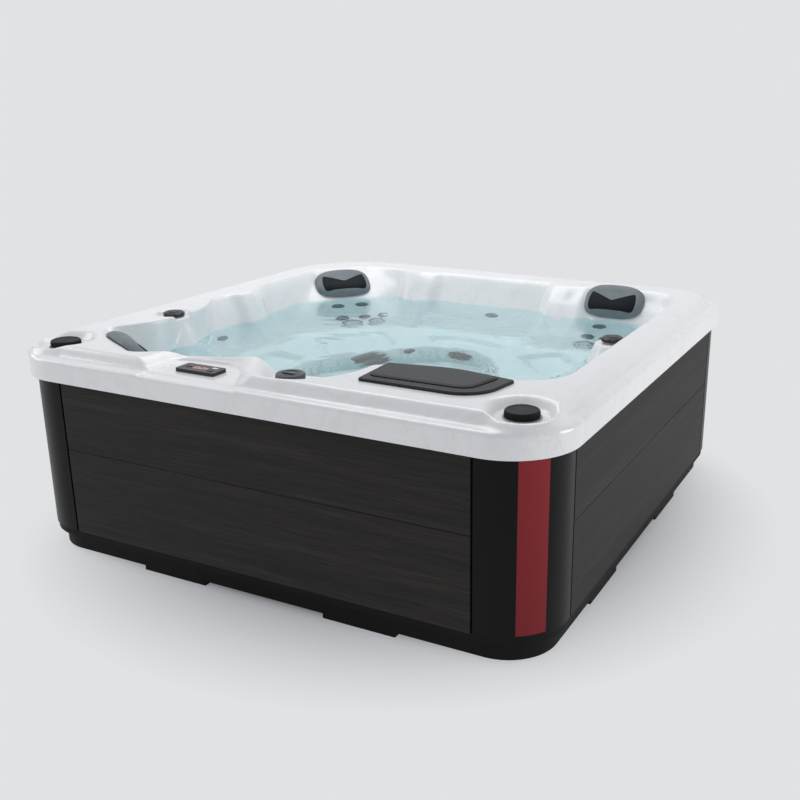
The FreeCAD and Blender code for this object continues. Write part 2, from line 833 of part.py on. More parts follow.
def hole(shape, frame, radius, front, back):
    """A round hole bored through along a wall's own direction, from in front of it to behind."""
    point, right, up, outward = frame
    bore = Part.makeCylinder(radius, front + back, point - outward * back, outward)
    return shape.cut(bore)


# Water fittings on the reclined backs: back, share along it, height above the bench as a share of the half side
small_jet_shares = (
    ("back_left", 0.41, 0.262),
    ("back_left", 0.80, 0.262),
    ("back_left", 0.12, 0.115),
    ("back_left", 0.46, 0.115),
    ("back_left", 0.82, 0.115),
    ("back_middle", 0.43, 0.225),
    ("left", 0.54, 0.225),
    ("back_right", 0.28, 0.262),
    ("back_right", 0.72, 0.262),
    ("back_right", 0.40, 0.145),
    ("back_right", 0.59, 0.145),
    ("back_right", 0.78, 0.145),
    ("right", 0.30, 0.225),
    ("right", 0.66, 0.225),
    ("front_left", 0.35, 0.225),
    ("front_left", 0.65, 0.225),
)
rotary_jet_shares = (
    ("back_left", 0.29, 0.050),
    ("back_left", 0.70, 0.050),
    ("back_right", 0.50, 0.055),
    ("back_right", 0.78, 0.055),
)
light_shares = (
    ("right_pillar", 0.50, 0.318),
    ("left_pillar", 0.50, 0.318),
    ("left_rib", 0.50, 0.318),
)
suction_edge_shares = ((3, 0.55), (4, 0.60))
return_edge_share = (4, 0.26)
suction_rise_share = 0.095
return_rise_share = 0.150


def jet_frame(place):
    """Where a fitting stands on its seat back."""
    name, along_share, rise_share = place
    return wall_frame(name, along_share, bench_level + rise_share * half_side)


def footwell_frame(edge, along_share, rise_share):
    """Place on one side of the footwell, facing the bather's feet."""
    points, radii = corners_of(footwell_shares)
    first = points[edge]
    last = points[(edge + 1) % len(points)]
    along = (last - first).normalize()
    outward = vector(-along.y, along.x)
    point = first + (last - first) * along_share + vector(0, 0, foot_level + rise_share * half_side)
    right = along * -1
    return point, right, outward.cross(right), outward


small_frames = [jet_frame(place) for place in small_jet_shares]
rotary_frames = [jet_frame(place) for place in rotary_jet_shares]
suction_frames = [footwell_frame(edge, share, suction_rise_share) for edge, share in suction_edge_shares]
return_frame = footwell_frame(return_edge_share[0], return_edge_share[1], return_rise_share)
diverter_x, diverter_y = (share * half_side for share in diverter_share)
left_knob_x, left_knob_y = (share * half_side for share in left_knob_share)
right_knob_x, right_knob_y = (share * half_side for share in right_knob_share)
knob_places = (
    ("diverter", diverter_x, diverter_y, shelf_level),
    ("left", left_knob_x, left_knob_y, left_knob_level),
    ("right", right_knob_x, right_knob_y, right_knob_level),
)
bucket_x, bucket_y = (share * half_side for share in bucket_share)
mouth_level = deck_level - size("mouth_drop")
gap = size("seat_gap")
slide = size("slide_gap")

shell = shell_shape()
for frame in small_frames:
    shell = hole(shell, frame, size("jet_body_radius") + slide, wall, 2 * wall)
for frame in rotary_frames:
    shell = hole(shell, frame, size("rotary_body_radius") + slide, wall, 2 * wall)
for frame in suction_frames:
    shell = hole(shell, frame, size("suction_body_radius") + slide, wall, 2 * wall)
for name, x, y, level in knob_places:
    shell = shell.cut(cylinder(size("valve_radius") + slide, level - size("valve_depth") - slide, level + overrun,
                               x, y))
for side in (-1, 1):
    x = side * speaker_share * half_side
    y = -speaker_share * half_side
    shell = shell.cut(cylinder(size("speaker_body_radius") + size("speaker_cup_wall") + 2 * slide,
                               speaker_level - 2 * wall, speaker_level + overrun, x, y))
bucket_points = square_corners(size("bucket_side_x") / 2, size("bucket_side_y") / 2, bucket_x, bucket_y)
bucket_radii = [size("bucket_radius")] * 4
shell = shell.cut(column(bucket_points, bucket_radii, slide, deck_level - 2 * wall, deck_level + overrun))
mouth_points = square_corners(size("mouth_width") / 2, size("bucket_side_y"), bucket_x, bucket_y + size("bucket_side_y"))
mouth_box = Part.Face(Part.makePolygon([p + vector(0, 0, mouth_level - size("mouth_height"))
                                        for p in mouth_points + mouth_points[:1]]))
shell = shell.cut(mouth_box.extrude(vector(0, 0, size("mouth_height"))))


def flat_cut(*corners):
    """A flat face through corners given in order."""
    return Part.Face(Part.makePolygon([vector(*corner) for corner in corners + corners[:1]]))


def upright_cut(start, end, low, high):
    """A flat upright face between two points of the plan."""
    return flat_cut((*start, low), (*end, low), (*end, high), (*start, high))


# The real shell is one sheet. Flat cuts part its solid into levels and sides that touch along them, so that
# collision can follow the well: behind the lip's face, under the lip, at the seats and over the foot.
reach = half_side + overrun
cut_foot = foot_level + wall
seat_foot = bench_level - size("bucket_depth") - 2 * wall
seat_top = bench_level + wall
lip_foot = lip_level - gap
cut_top = deck_level + overrun
cuts = []
for level in (cut_foot, seat_foot, seat_top, lip_foot):
    cuts.append(flat_cut((-reach, -reach, level), (reach, -reach, level), (reach, reach, level), (-reach, reach, level)))
# Both diagonals, the one at the filter clear of its round corner, and the lip's four faces
corner_clear = size("bucket_radius")
cuts.append(upright_cut((-reach, -reach), (reach, reach), cut_foot, cut_top))
cuts.append(upright_cut((reach + corner_clear, -reach), (corner_clear - reach, reach), cut_foot, cut_top))
for face in (wall + gap - half_side, half_side - wall - gap):
    cuts.append(upright_cut((face, -reach), (face, reach), lip_foot, cut_top))
    cuts.append(upright_cut((-reach, face), (reach, face), lip_foot, cut_top))
# In front of the well: beside the front left seat, the filter's hole and its mouth
hole_half = size("bucket_side_x") / 2 + slide
mouth_side = size("mouth_width") / 2
front_sides = [share[0] * half_side for share in well_corner_shares[5:7]]
front_sides += [bucket_x - hole_half, bucket_x - mouth_side, bucket_x + mouth_side, bucket_x + hole_half]
for x in front_sides:
    cuts.append(upright_cut((x, -reach), (x, -half_side / 2), lip_foot, cut_top))
# Between the three seats on the left
foot_edge = footwell_shares[0][0] * half_side / 2
for here, after in zip(seat_shares[:2], seat_shares[1:3]):
    y = (here[1] + after[1]) / 2 * half_side
    cuts.append(upright_cut((-reach, y), (foot_edge, y), seat_foot, seat_top))
parted = shell.Solids[0].generalFuse(cuts)[1][0]
new_feature("shell", Part.makeCompound([solid for piece in parted for solid in piece.Solids]))

# Base pan: a moulded tray on eight pads, with a flange that carries the cabinet
pan = new_body("base_pan")
tray_sketch = draw(pan, "XY_Plane", "tray", rounded_box(CABINET_HALF + " - pan_inset", CABINET_HALF + " - pan_inset",
                                                       "pan_radius"))
pad(pan, tray_sketch, CABINET_LEVEL)
lift_sketch = draw(pan, "XY_Plane", "pad_gap", rounded_box(TUB_HALF, TUB_HALF, "pan_radius"))
pocket(pan, lift_sketch, "pad_height", reverse=True)
flange_sketch = draw(pan, "XY_Plane", "flange", rounded_box(
    CABINET_HALF + " - pan_flange_inset", CABINET_HALF + " - pan_flange_inset", "post_radius - pan_flange_inset"))
flange_sketch.AttachmentOffset = FreeCAD.Placement(vector(0, 0, size(CABINET_LEVEL)), FreeCAD.Rotation())
flange_sketch.setExpression("AttachmentOffset.Base.z", bound(CABINET_LEVEL))
pad(pan, flange_sketch, "pan_flange_height", reverse=True)
tray_hollow = draw(pan, "XY_Plane", "tray_hollow", rounded_box(
    CABINET_HALF + " - pan_inset - pan_wall", CABINET_HALF + " - pan_inset - pan_wall", "pan_radius - pan_wall"))
tray_hollow.setExpression("AttachmentOffset.Base.z", bound(CABINET_LEVEL))
pocket(pan, tray_hollow, "base_height - pan_floor")
pad_line = "(" + CABINET_HALF + " - pan_inset)"
foot_sketch = draw(pan, "XY_Plane", "pads",
                   box_corners("foot_inner", "-" + pad_line, "foot_inner + foot_length", "-" + pad_line + " + foot_width"),
                   box_corners("-foot_inner - foot_length", "-" + pad_line, "-foot_inner",
                               "-" + pad_line + " + foot_width"))
foot_pad = pad(pan, foot_sketch, "pad_height + pan_floor / 2")
ring_pattern(pan, foot_pad, 4)
power_sketch = draw(pan, "XZ_Plane", "power_hole",
                    [("-power_hole_side", "pad_height + base_height / 2 - pan_floor", "power_hole_radius")])
pocket(pan, power_sketch, TUB_HALF)

# Corner posts: curved satin covers whose thin flanges sit behind the planks
POST_FACE = CABINET_HALF
POST_CENTRE = "(" + CABINET_HALF + " - post_radius)"
POST_END = "(" + CABINET_HALF + " - post_reach)"
POST_HEIGHT = "(cabinet_height - panel_top_gap)"
post_section = [
    (POST_CENTRE, "-" + POST_FACE),
    (POST_FACE, "-" + POST_CENTRE, "post_radius", 1),
    (POST_FACE, "-" + POST_END),
    (POST_FACE + " - panel_wall - seat_gap", "-" + POST_END),
    (POST_FACE + " - panel_wall - seat_gap", "-" + POST_END + " + post_flange"),
    (POST_FACE + " - post_wall", "-" + POST_END + " + post_flange"),
    (POST_FACE + " - post_wall", "-" + POST_CENTRE),
    (POST_CENTRE, "-" + POST_FACE + " + post_wall", "post_radius - post_wall", -1),
    (POST_END + " - post_flange", "-" + POST_FACE + " + post_wall"),
    (POST_END + " - post_flange", "-" + POST_FACE + " + panel_wall + seat_gap"),
    (POST_END, "-" + POST_FACE + " + panel_wall + seat_gap"),
    (POST_END, "-" + POST_FACE),
]


def strip_section(outer_radius, inner_radius, half_angle):
    """A curved slot centred on the post's corner, from one radius to another."""
    def at(radius, angle):
        return ("%s + (%s) * cos(%s)" % (POST_CENTRE, radius, angle),
                "-(%s + (%s) * sin(%s))" % (POST_CENTRE, radius, angle))
    low = "(%g - (%s))" % (QUARTER_TURN / 2, half_angle)
    high = "(%g + (%s))" % (QUARTER_TURN / 2, half_angle)
    return [
        at(inner_radius, high),
        at(outer_radius, high),
        at(outer_radius, low) + (outer_radius, 1),
        at(inner_radius, low),
    ]


def post_body(label, turn):
    """One corner post, turned to its corner."""
    post = new_body(label)
    section = draw(post, "XY_Plane", label + "_section", post_section)
    pad(post, section, POST_HEIGHT)
    put(post, "0", "0", CABINET_LEVEL, turn)
    return post


front_right_post = post_body("corner_post_front_right", 0)
post_body("corner_post_rear_right", QUARTER_TURN)
post_body("corner_post_rear_left", 2 * QUARTER_TURN)
post_body("corner_post_front_left", 3 * QUARTER_TURN)
slot_corners = strip_section("post_radius + cut_overrun", "post_radius - strip_wall", "strip_half_angle")
slot_corners[0] = slot_corners[0] + ("post_radius - strip_wall", -1)
slot_sketch = draw(front_right_post, "XY_Plane", "strip_slot", slot_corners)
slot_sketch.setExpression("AttachmentOffset.Base.z", bound("strip_foot"))
pocket(front_right_post, slot_sketch, "cabinet_height", reverse=True)

# Light strip: a red diffuser let into the front right post
light_strip = new_body("light_strip")
lens_corners = strip_section("post_radius", "post_radius - strip_wall + seat_gap", "strip_half_angle - seat_gap / 4")
lens_corners[0] = lens_corners[0] + ("post_radius - strip_wall + seat_gap", -1)
lens_sketch = draw(light_strip, "XY_Plane", "strip_section", lens_corners)
pad(light_strip, lens_sketch, POST_HEIGHT + " - strip_foot")
put(light_strip, "0", "0", CABINET_LEVEL + " + strip_foot")

# Planks: a tongued lower one and a grooved upper one on each side
FACE = "-" + CABINET_HALF
TONGUE_FRONT = FACE + " + (panel_wall - tongue_wall) / 2"
TONGUE_BACK = FACE + " + (panel_wall + tongue_wall) / 2"
UPPER_HEIGHT = "(cabinet_height - panel_top_gap - lower_plank_height)"
lower_section = [
    (FACE, "0"),
    (FACE + " + panel_wall", "0"),
    (FACE + " + panel_wall", "lower_plank_height"),
    (TONGUE_BACK, "lower_plank_height"),
    (TONGUE_BACK, "lower_plank_height + tongue_height"),
    (TONGUE_FRONT, "lower_plank_height + tongue_height"),
    (TONGUE_FRONT, "lower_plank_height"),
    (FACE + " + plank_bevel", "lower_plank_height"),
    (FACE, "lower_plank_height - plank_bevel"),
]
upper_section = [
    (FACE, "plank_bevel"),
    (FACE + " + plank_bevel", "0"),
    (TONGUE_FRONT + " - seat_gap", "0"),
    (TONGUE_FRONT + " - seat_gap", "tongue_height + seat_gap"),
    (TONGUE_BACK + " + seat_gap", "tongue_height + seat_gap"),
    (TONGUE_BACK + " + seat_gap", "0"),
    (FACE + " + panel_wall", "0"),
    (FACE + " + panel_wall", UPPER_HEIGHT),
    (FACE, UPPER_HEIGHT),
]
tiers = (("lower", lower_section, CABINET_LEVEL), ("upper", upper_section, CABINET_LEVEL + " + lower_plank_height"))
for number, side in enumerate(("front", "right", "rear", "left")):
    for tier, section, level in tiers:
        plank = new_body("plank_%s_%s" % (side, tier))
        plank_sketch = draw(plank, "YZ_Plane", "%s_%s_section" % (side, tier), section)
        pad(plank, plank_sketch, "2 * (" + POST_END + " - panel_gap)", middle=True)
        put(plank, "0", "0", level, number * QUARTER_TURN)

# Cabinet frame: two rails and three studs behind each side, from the pan's flange to the underside of the rim
frame_body = new_body("cabinet_frame")
FRAME_TOP = "(cabinet_height + lip_height - lip_edge - shell_wall)"
RAIL_END = "(" + POST_END + " - rail_to_post)"
STUD_FOOT = "(bar_side + seat_gap)"
STUD_TOP = "(" + FRAME_TOP + " - bar_side - seat_gap)"
ladder = draw(frame_body, "XZ_Plane", "ladder",
              box_corners("-" + RAIL_END, "0", RAIL_END, "bar_side"),
              box_corners("-" + RAIL_END, FRAME_TOP + " - bar_side", RAIL_END, FRAME_TOP),
              box_corners("-" + RAIL_END, STUD_FOOT, "bar_side - " + RAIL_END, STUD_TOP),
              box_corners("-bar_side / 2", STUD_FOOT, "bar_side / 2", STUD_TOP),
              box_corners(RAIL_END + " - bar_side", STUD_FOOT, RAIL_END, STUD_TOP))
ladder.setExpression("AttachmentOffset.Base.z", bound(CABINET_HALF + " - panel_wall"))
ladder_pad = pad(frame_body, ladder, "bar_side", reverse=True)
ring_pattern(frame_body, ladder_pad, 4)
put(frame_body, "0", "0", CABINET_LEVEL)


def at(share):
    """A share of the tub's half side as a formula."""
    return "(%g * tub_side / 2)" % share


# Headrests: crowned cushions on the reclined backs, each with a bow-tie insert let into its face
pillow_half_x = size("pillow_half_width")
pillow_half_y = size("pillow_half_height")
pillow_thickness = size("pillow_thickness")


def pillow_shape():
    """One cushion on its own axes: back on the wall, crown towards the bather."""
    points = square_corners(pillow_half_x, pillow_half_y)
    radii = [size("pillow_radius")] * 4
    taper = size("pillow_back_taper")
    sections = [(-taper, 0.0), (0.0, taper)]
    for inset, rise in crown_shares:
        sections.append((-inset * size("pillow_crown_taper"), rise * pillow_thickness))
    return tapered(points, radii, *sections)


def insert_shape(gap, low, high):
    """The bow-tie outline of a headrest insert, raised between two heights."""
    points = [vector(x * pillow_half_x, y * pillow_half_y) for x, y, radius in insert_shares]
    radii = [radius * pillow_half_y for x, y, radius in insert_shares]
    return column(points, radii, gap, low, high)


insert_floor = pillow_thickness - size("insert_depth")
cushion = pillow_shape().cut(insert_shape(gap, insert_floor, pillow_thickness + overrun))
insert = insert_shape(0.0, insert_floor, pillow_thickness + size("insert_proud"))
for name, along_share, rise_share in pillow_shares:
    place = placed(jet_frame((name, along_share, rise_share)), gap)
    pillow = cushion.copy()
    pillow.Placement = place
    new_feature("pillow_" + name, pillow.cut(shell))
    new_feature("pillow_insert_" + name, insert.copy(), place)

# Filter: surround plate, lift-off lid, skimmer housing, pleated cartridge and weir flap
surround_points, surround_radii = corners_of(surround_shares)
lid_points, lid_radii = corners_of(lid_shares)
surround_top = deck_level + size("surround_height")
surround_floor = deck_level + size("surround_floor")
bucket_wall = size("bucket_wall")
inner_points = square_corners(size("bucket_side_x") / 2 - bucket_wall, size("bucket_side_y") / 2 - bucket_wall,
                              bucket_x, bucket_y)
inner_radii = [size("bucket_radius") - bucket_wall] * 4
surround = tapered(surround_points, surround_radii, (0.0, deck_level), (0.0, surround_top - size("surround_bevel")),
                   (-size("surround_bevel"), surround_top))
surround = surround.cut(column(lid_points, lid_radii, size("lid_groove"), surround_floor, surround_top + overrun))
opening = column(inner_points, inner_radii, 0.0, deck_level - overrun, surround_top)
opening = opening.common(column(lid_points, lid_radii, -size("lid_seat"), deck_level - overrun, surround_top))
surround = surround.cut(opening)
new_feature("filter_surround", surround)
lid_foot = surround_floor + gap
lid_top = lid_foot + size("lid_height")
lid = tapered(lid_points, lid_radii, (0.0, lid_foot), (0.0, lid_top - size("lid_bevel")),
              (-size("lid_bevel_run") / 2, lid_top - size("lid_bevel") / 4), (-size("lid_bevel_run"), lid_top))
new_feature("filter_lid", lid)

bucket_foot = deck_level - size("bucket_height")
pin_radius = size("flap_pin_radius")
flap_gap = size("flap_gap")
mouth_half = size("mouth_width") / 2
mouth_foot = mouth_level - size("mouth_height")
duct_points = square_corners(mouth_half + bucket_wall, size("bucket_side_y") / 2, bucket_x,
                             bucket_y + size("bucket_side_y"))
duct_face = Part.Face(Part.makePolygon([p + vector(0, 0, mouth_foot - bucket_wall)
                                        for p in duct_points + duct_points[:1]]))
duct = duct_face.extrude(vector(0, 0, size("mouth_height") + 2 * bucket_wall))
well_points, well_radii = corners_of(well_corner_shares)
duct = duct.cut(column(well_points, well_radii, wall + gap, mouth_foot - 2 * bucket_wall, mouth_level + wall))
housing = column(bucket_points, bucket_radii, 0.0, bucket_foot, deck_level).fuse(duct)
housing = housing.cut(column(inner_points, inner_radii, 0.0, bucket_foot + bucket_wall, deck_level + overrun))
mouth_cut = square_corners(mouth_half, size("bucket_side_y"), bucket_x, bucket_y + size("bucket_side_y"))
mouth_cut_face = Part.Face(Part.makePolygon([p + vector(0, 0, mouth_foot) for p in mouth_cut + mouth_cut[:1]]))
housing = housing.cut(mouth_cut_face.extrude(vector(0, 0, size("mouth_height"))))
flap_y = bucket_y + size("bucket_side_y") / 2 + size("bucket_wall") + 2 * pin_radius
flap_z = mouth_foot + flap_gap + pin_radius
pin_half = mouth_half + bucket_wall / 2
bearing = Part.makeCylinder(pin_radius + size("shaft_gap"), 2 * pin_half + 2 * gap,
                            vector(bucket_x - pin_half - gap, flap_y, flap_z), vector(1, 0, 0))
outlet = cylinder(size("pipe_radius") - size("pipe_wall"), bucket_foot - overrun, bucket_foot + 2 * bucket_wall,
                  bucket_x, bucket_y)
housing = housing.cut(bearing).cut(outlet)
# The real housing is one moulding. Flat cuts part its solid into floor, walls, halves of corners and duct sides.
floor_top = bucket_foot + bucket_wall
arc_x = size("bucket_side_x") / 2 - size("bucket_radius")
arc_y = size("bucket_side_y") / 2 - size("bucket_radius")
back_face = bucket_y + size("bucket_side_y") / 2
cuts = [flat_cut((-reach, -reach, floor_top), (reach, -reach, floor_top), (reach, reach, floor_top),
                 (-reach, reach, floor_top))]
for x in (bucket_x - arc_x, bucket_x + arc_x):
    cuts.append(upright_cut((x, -reach), (x, back_face), floor_top, cut_top))
for y in (bucket_y - arc_y, bucket_y + arc_y, back_face):
    cuts.append(upright_cut((0.0, y), (reach, y), floor_top, cut_top))
for x in (bucket_x - mouth_half, bucket_x + mouth_half):
    cuts.append(upright_cut((x, bucket_y + arc_y), (x, 0.0), floor_top, cut_top))
corner_reach = 2 * size("bucket_radius")
for turn_x in (-1, 1):
    for turn_y in (-1, 1):
        x = bucket_x + turn_x * arc_x
        y = bucket_y + turn_y * arc_y
        cuts.append(upright_cut((x, y), (x + turn_x * corner_reach, y + turn_y * corner_reach), floor_top, cut_top))
parted = housing.Solids[0].generalFuse(cuts)[1][0]
new_feature("filter_housing", Part.makeCompound([solid for piece in parted for solid in piece.Solids]))

flap = new_body("weir_flap")
flap_sketch = draw(flap, "YZ_Plane", "flap_section",
                   box_corners("-flap_wall / 2", "0", "flap_wall / 2",
                               "mouth_height - 2 * flap_gap - flap_pin_radius"))
pad(flap, flap_sketch, "mouth_width - 2 * flap_gap", middle=True)
pin_sketch = draw(flap, "YZ_Plane", "flap_pin", [("0", "0", "flap_pin_radius")])
pad(flap, pin_sketch, "mouth_width + bucket_wall", middle=True)
put(flap, at(bucket_share[0]), at(bucket_share[1]) + " + bucket_side_y / 2 + bucket_wall + 2 * flap_pin_radius",
    DECK_LEVEL + " - mouth_drop - mouth_height + flap_gap + flap_pin_radius")


def star(radius, depth, count, low, high, x, y):
    """A pleated tube's outline raised between two heights."""
    points = []
    for step in range(2 * count):
        reach = radius - (step % 2) * depth
        angle = math.pi * step / count
        points.append(vector(x + reach * math.cos(angle), y + reach * math.sin(angle), low))
    face = Part.Face(Part.makePolygon(points + points[:1]))
    return face.extrude(vector(0, 0, high - low))


pleat_count = 36
cartridge_foot = bucket_foot + bucket_wall
cartridge_top = cartridge_foot + size("cartridge_height")
cartridge_radius = size("cartridge_radius")
cap = size("cartridge_cap")
pleats = star(cartridge_radius - size("seat_gap"), size("pleat_depth"), pleat_count, cartridge_foot + cap,
              cartridge_top - cap, bucket_x, bucket_y)
caps = [cylinder(cartridge_radius, cartridge_foot, cartridge_foot + cap, bucket_x, bucket_y),
        cylinder(cartridge_radius, cartridge_top - cap, cartridge_top, bucket_x, bucket_y)]
cartridge = pleats.multiFuse(caps)
cartridge = cartridge.cut(cylinder(size("cartridge_core"), cartridge_foot - overrun, cartridge_top + overrun,
                                   bucket_x, bucket_y))
new_feature("filter_cartridge", cartridge)

# Control panel on its lowered platform: housing, display window and three buttons
housing_body = new_body("touchpad_housing")
housing_sketch = draw(housing_body, "XY_Plane", "touchpad",
                      rounded_box("touchpad_length / 2", "touchpad_width / 2", "touchpad_radius"))
pad(housing_body, housing_sketch, "touchpad_height")
window_sketch = draw(housing_body, "XY_Plane", "window",
                     rounded_box("display_length / 2 + seat_gap", "display_width / 2 + seat_gap", "display_depth"))
window_sketch.setExpression("AttachmentOffset.Base.z", bound("touchpad_height"))
pocket(housing_body, window_sketch, "display_depth")
button_places = (
    ("button_jets", "-button_offset", "0"),
    ("button_light", "button_offset", "button_row"),
    ("button_temperature", "button_offset", "-button_row"),
)
for name, x, y in button_places:
    well_sketch = draw(housing_body, "XY_Plane", name + "_well",
                       rounded_box("button_length / 2 + seat_gap", "button_width / 2 + seat_gap",
                                   "button_height / 2", x, y))
    well_sketch.setExpression("AttachmentOffset.Base.z", bound("touchpad_height"))
    pocket(housing_body, well_sketch, "button_well")
put(housing_body, at(touchpad_share[0]), at(touchpad_share[1]), LEDGE_LEVEL)

display = new_body("touchpad_display")
display_sketch = draw(display, "XY_Plane", "display",
                      rounded_box("display_length / 2", "display_width / 2", "display_depth"))
pad(display, display_sketch, "display_depth")
put(display, at(touchpad_share[0]), at(touchpad_share[1]), LEDGE_LEVEL + " + touchpad_height - display_depth")
for name, x, y in button_places:
    button = new_body(name)
    button_sketch = draw(button, "XY_Plane", name + "_top",
                         rounded_box("button_length / 2", "button_width / 2", "button_height / 2"))
    pad(button, button_sketch, "button_height")
    put(button, at(touchpad_share[0]) + " + " + x, at(touchpad_share[1]) + " + " + y,
        LEDGE_LEVEL + " + touchpad_height + button_proud - button_height")


def shaped(label, profile, frames):
    """A node of equal turned fittings, one on each wall frame."""
    fittings = []
    for frame in frames:
        fitting = turned_shape(profile)
        fitting.Placement = placed(frame)
        fittings.append(fitting)
    return new_feature(label, fittings[0] if len(fittings) == 1 else Part.makeCompound(fittings))


def level_frame(x, y, level):
    """A wall frame that lies flat, facing up."""
    return vector(x, y, level), vector(1, 0, 0), vector(0, 1, 0), vector(0, 0, 1)


# Knobs: valve bodies through the shell, each with a stem, and a cap turning on it
stem = size("stem_radius")
flange = size("valve_flange")
shaped("valve_bodies", [
    (0.0, -size("valve_depth")), (size("valve_radius"), -size("valve_depth")), (size("valve_radius"), 0.0),
    (size("valve_flange_radius"), 0.0), (size("valve_flange_radius"), flange), (stem, flange),
    (stem, flange + size("stem_height")), (0.0, flange + size("stem_height")),
], [level_frame(x, y, level) for name, x, y, level in knob_places])
BORE = "stem_radius + shaft_gap"
BORE_TOP = "stem_height + slide_gap"
diverter = new_body("diverter_knob")
turned(diverter, "diverter_section", [
    (BORE, "0"),
    ("diverter_radius", "0"),
    ("diverter_radius", "diverter_shoulder"),
    ("diverter_top_radius", "diverter_height"),
    ("diverter_top_radius - diverter_ring", "diverter_height"),
    ("diverter_top_radius - diverter_ring", "diverter_height - diverter_ring_depth"),
    ("diverter_top_radius - 2 * diverter_ring", "diverter_height - diverter_ring_depth"),
    ("diverter_top_radius - 2 * diverter_ring", "diverter_height"),
    ("0", "diverter_height"),
    ("0", BORE_TOP),
    (BORE, BORE_TOP),
])
grip_sketch = draw(diverter, "XY_Plane", "grip",
                   rounded_box("diverter_grip_width / 2", "(diverter_top_radius - 2 * diverter_ring)",
                               "(diverter_grip_width / 2 - slide_gap)"))
grip_sketch.setExpression("AttachmentOffset.Base.z", bound("diverter_height - slide_gap"))
pad(diverter, grip_sketch, "diverter_grip + slide_gap")
put(diverter, at(diverter_share[0]), at(diverter_share[1]),
    DECK_LEVEL + " - " + at(shelf_drop_share) + " + valve_flange + seat_gap")

for side, share, drop in (("left", left_knob_share, knob_dish_drop_share),
                          ("right", right_knob_share, ledge_knob_drop_share)):
    knob = new_body("air_knob_" + side)
    turned(knob, "air_knob_section_" + side, [
        (BORE, "0"),
        ("air_knob_radius - air_knob_base", "0"),
        ("air_knob_radius", "air_knob_base"),
        ("air_knob_radius", "air_knob_height - air_knob_shoulder"),
        ("air_knob_radius - air_knob_shoulder", "air_knob_height - air_knob_rib"),
        ("air_knob_radius / 2 + air_knob_rib", "air_knob_height - air_knob_rib"),
        ("air_knob_radius / 2", "air_knob_height"),
        ("0", "air_knob_height"),
        ("0", BORE_TOP),
        (BORE, BORE_TOP),
    ])
    scallop = draw(knob, "XY_Plane", "scallop_" + side,
                   [("air_knob_radius + scallop_radius - scallop_depth", "0", "scallop_radius")])
    scallop_cut = pocket(knob, scallop, "air_knob_height", reverse=True)
    ring_pattern(knob, scallop_cut, 8)
    put(knob, at(share[0]), at(share[1]), DECK_LEVEL + " - " + at(drop) + " + valve_flange + seat_gap")

# Pop-up speakers: cups sealed into the front corners and round speakers that rise out of them
cup_inner = size("speaker_body_radius") + slide
cup_outer = cup_inner + size("speaker_cup_wall")
cup_floor = size("speaker_cup_wall") - size("speaker_cup_depth")
speaker_places = [(side * speaker_share * half_side, -speaker_share * half_side) for side in (-1, 1)]
shaped("speaker_cups", [
    (0.0, -size("speaker_cup_depth")), (cup_outer, -size("speaker_cup_depth")), (cup_outer, 0.0),
    (size("speaker_cup_rim"), 0.0), (size("speaker_cup_rim"), size("speaker_cup_flange")),
    (cup_inner, size("speaker_cup_flange")), (cup_inner, cup_floor), (0.0, cup_floor),
], [level_frame(x, y, speaker_level) for x, y in speaker_places])
for side, sign in (("left", "-"), ("right", "")):
    speaker = new_body("speaker_" + side)
    turned(speaker, "speaker_section_" + side, [
        ("0", "-speaker_body_depth"),
        ("speaker_body_radius", "-speaker_body_depth"),
        ("speaker_body_radius", "0"),
        ("speaker_radius", "0"),
        ("speaker_radius", "speaker_cap - speaker_crown"),
        ("0", "speaker_cap", "(speaker_radius ^ 2 + speaker_crown ^ 2) / (2 * speaker_crown)", 1),
    ])
    grille = draw(speaker, "XY_Plane", "grille_" + side,
                  box_corners("speaker_body_radius - grille_slot_depth", "-grille_slot / 2",
                              "speaker_body_radius + grille_slot_depth", "grille_slot / 2"))
    grille.setExpression("AttachmentOffset.Base.z", bound("-grille_slot"))
    grille_cut = pocket(speaker, grille, "grille_slot_height")
    ring_pattern(speaker, grille_cut, 12)
    put(speaker, sign + at(speaker_share), "-" + at(speaker_share),
        SPEAKER_LEVEL + " + speaker_cup_flange + seat_gap")

# Massage jets: fixed ones in three groups, and rotary ones with a spinning rotor on a fixed pin
jet_profile = [
    (0.0, -size("jet_body_depth")), (size("jet_body_radius"), -size("jet_body_depth")),
    (size("jet_body_radius"), 0.0), (size("jet_radius"), 0.0), (size("jet_radius"), size("jet_face") / 3),
    (size("jet_radius") - size("jet_face"), size("jet_face")), (size("jet_eye_radius"), size("jet_face")),
    (size("jet_eye_radius") - size("jet_eye_depth") / 2, size("jet_face") - size("jet_eye_depth")),
    (0.0, size("jet_face") - size("jet_eye_depth")),
]
jet_groups = (("jets_back_left", ("back_left",)), ("jets_back_right", ("back_right",)),
              ("jets_sides", ("back_middle", "left", "right", "front_left")))
for label, backs in jet_groups:
    shaped(label, jet_profile, [jet_frame(place) for place in small_jet_shares if place[0] in backs])
rotor_floor = size("rotary_face") - size("rotary_rotor") - 2 * slide
rotor_foot = rotor_floor + gap
pin_top = rotor_foot + size("rotary_rotor")
rotary_radius = size("rotary_radius")
rotor_hollow = size("rotary_rotor_radius") + slide
shaped("rotary_housings", [
    (0.0, -size("jet_body_depth")), (size("rotary_body_radius"), -size("jet_body_depth")),
    (size("rotary_body_radius"), 0.0), (rotary_radius, 0.0), (rotary_radius, rotor_floor),
    (rotor_hollow + 2 * slide, size("rotary_face")), (rotor_hollow, size("rotary_face")),
    (rotor_hollow, rotor_floor), (size("rotary_pin_radius"), rotor_floor), (size("rotary_pin_radius"), pin_top),
    (0.0, pin_top),
], rotary_frames)
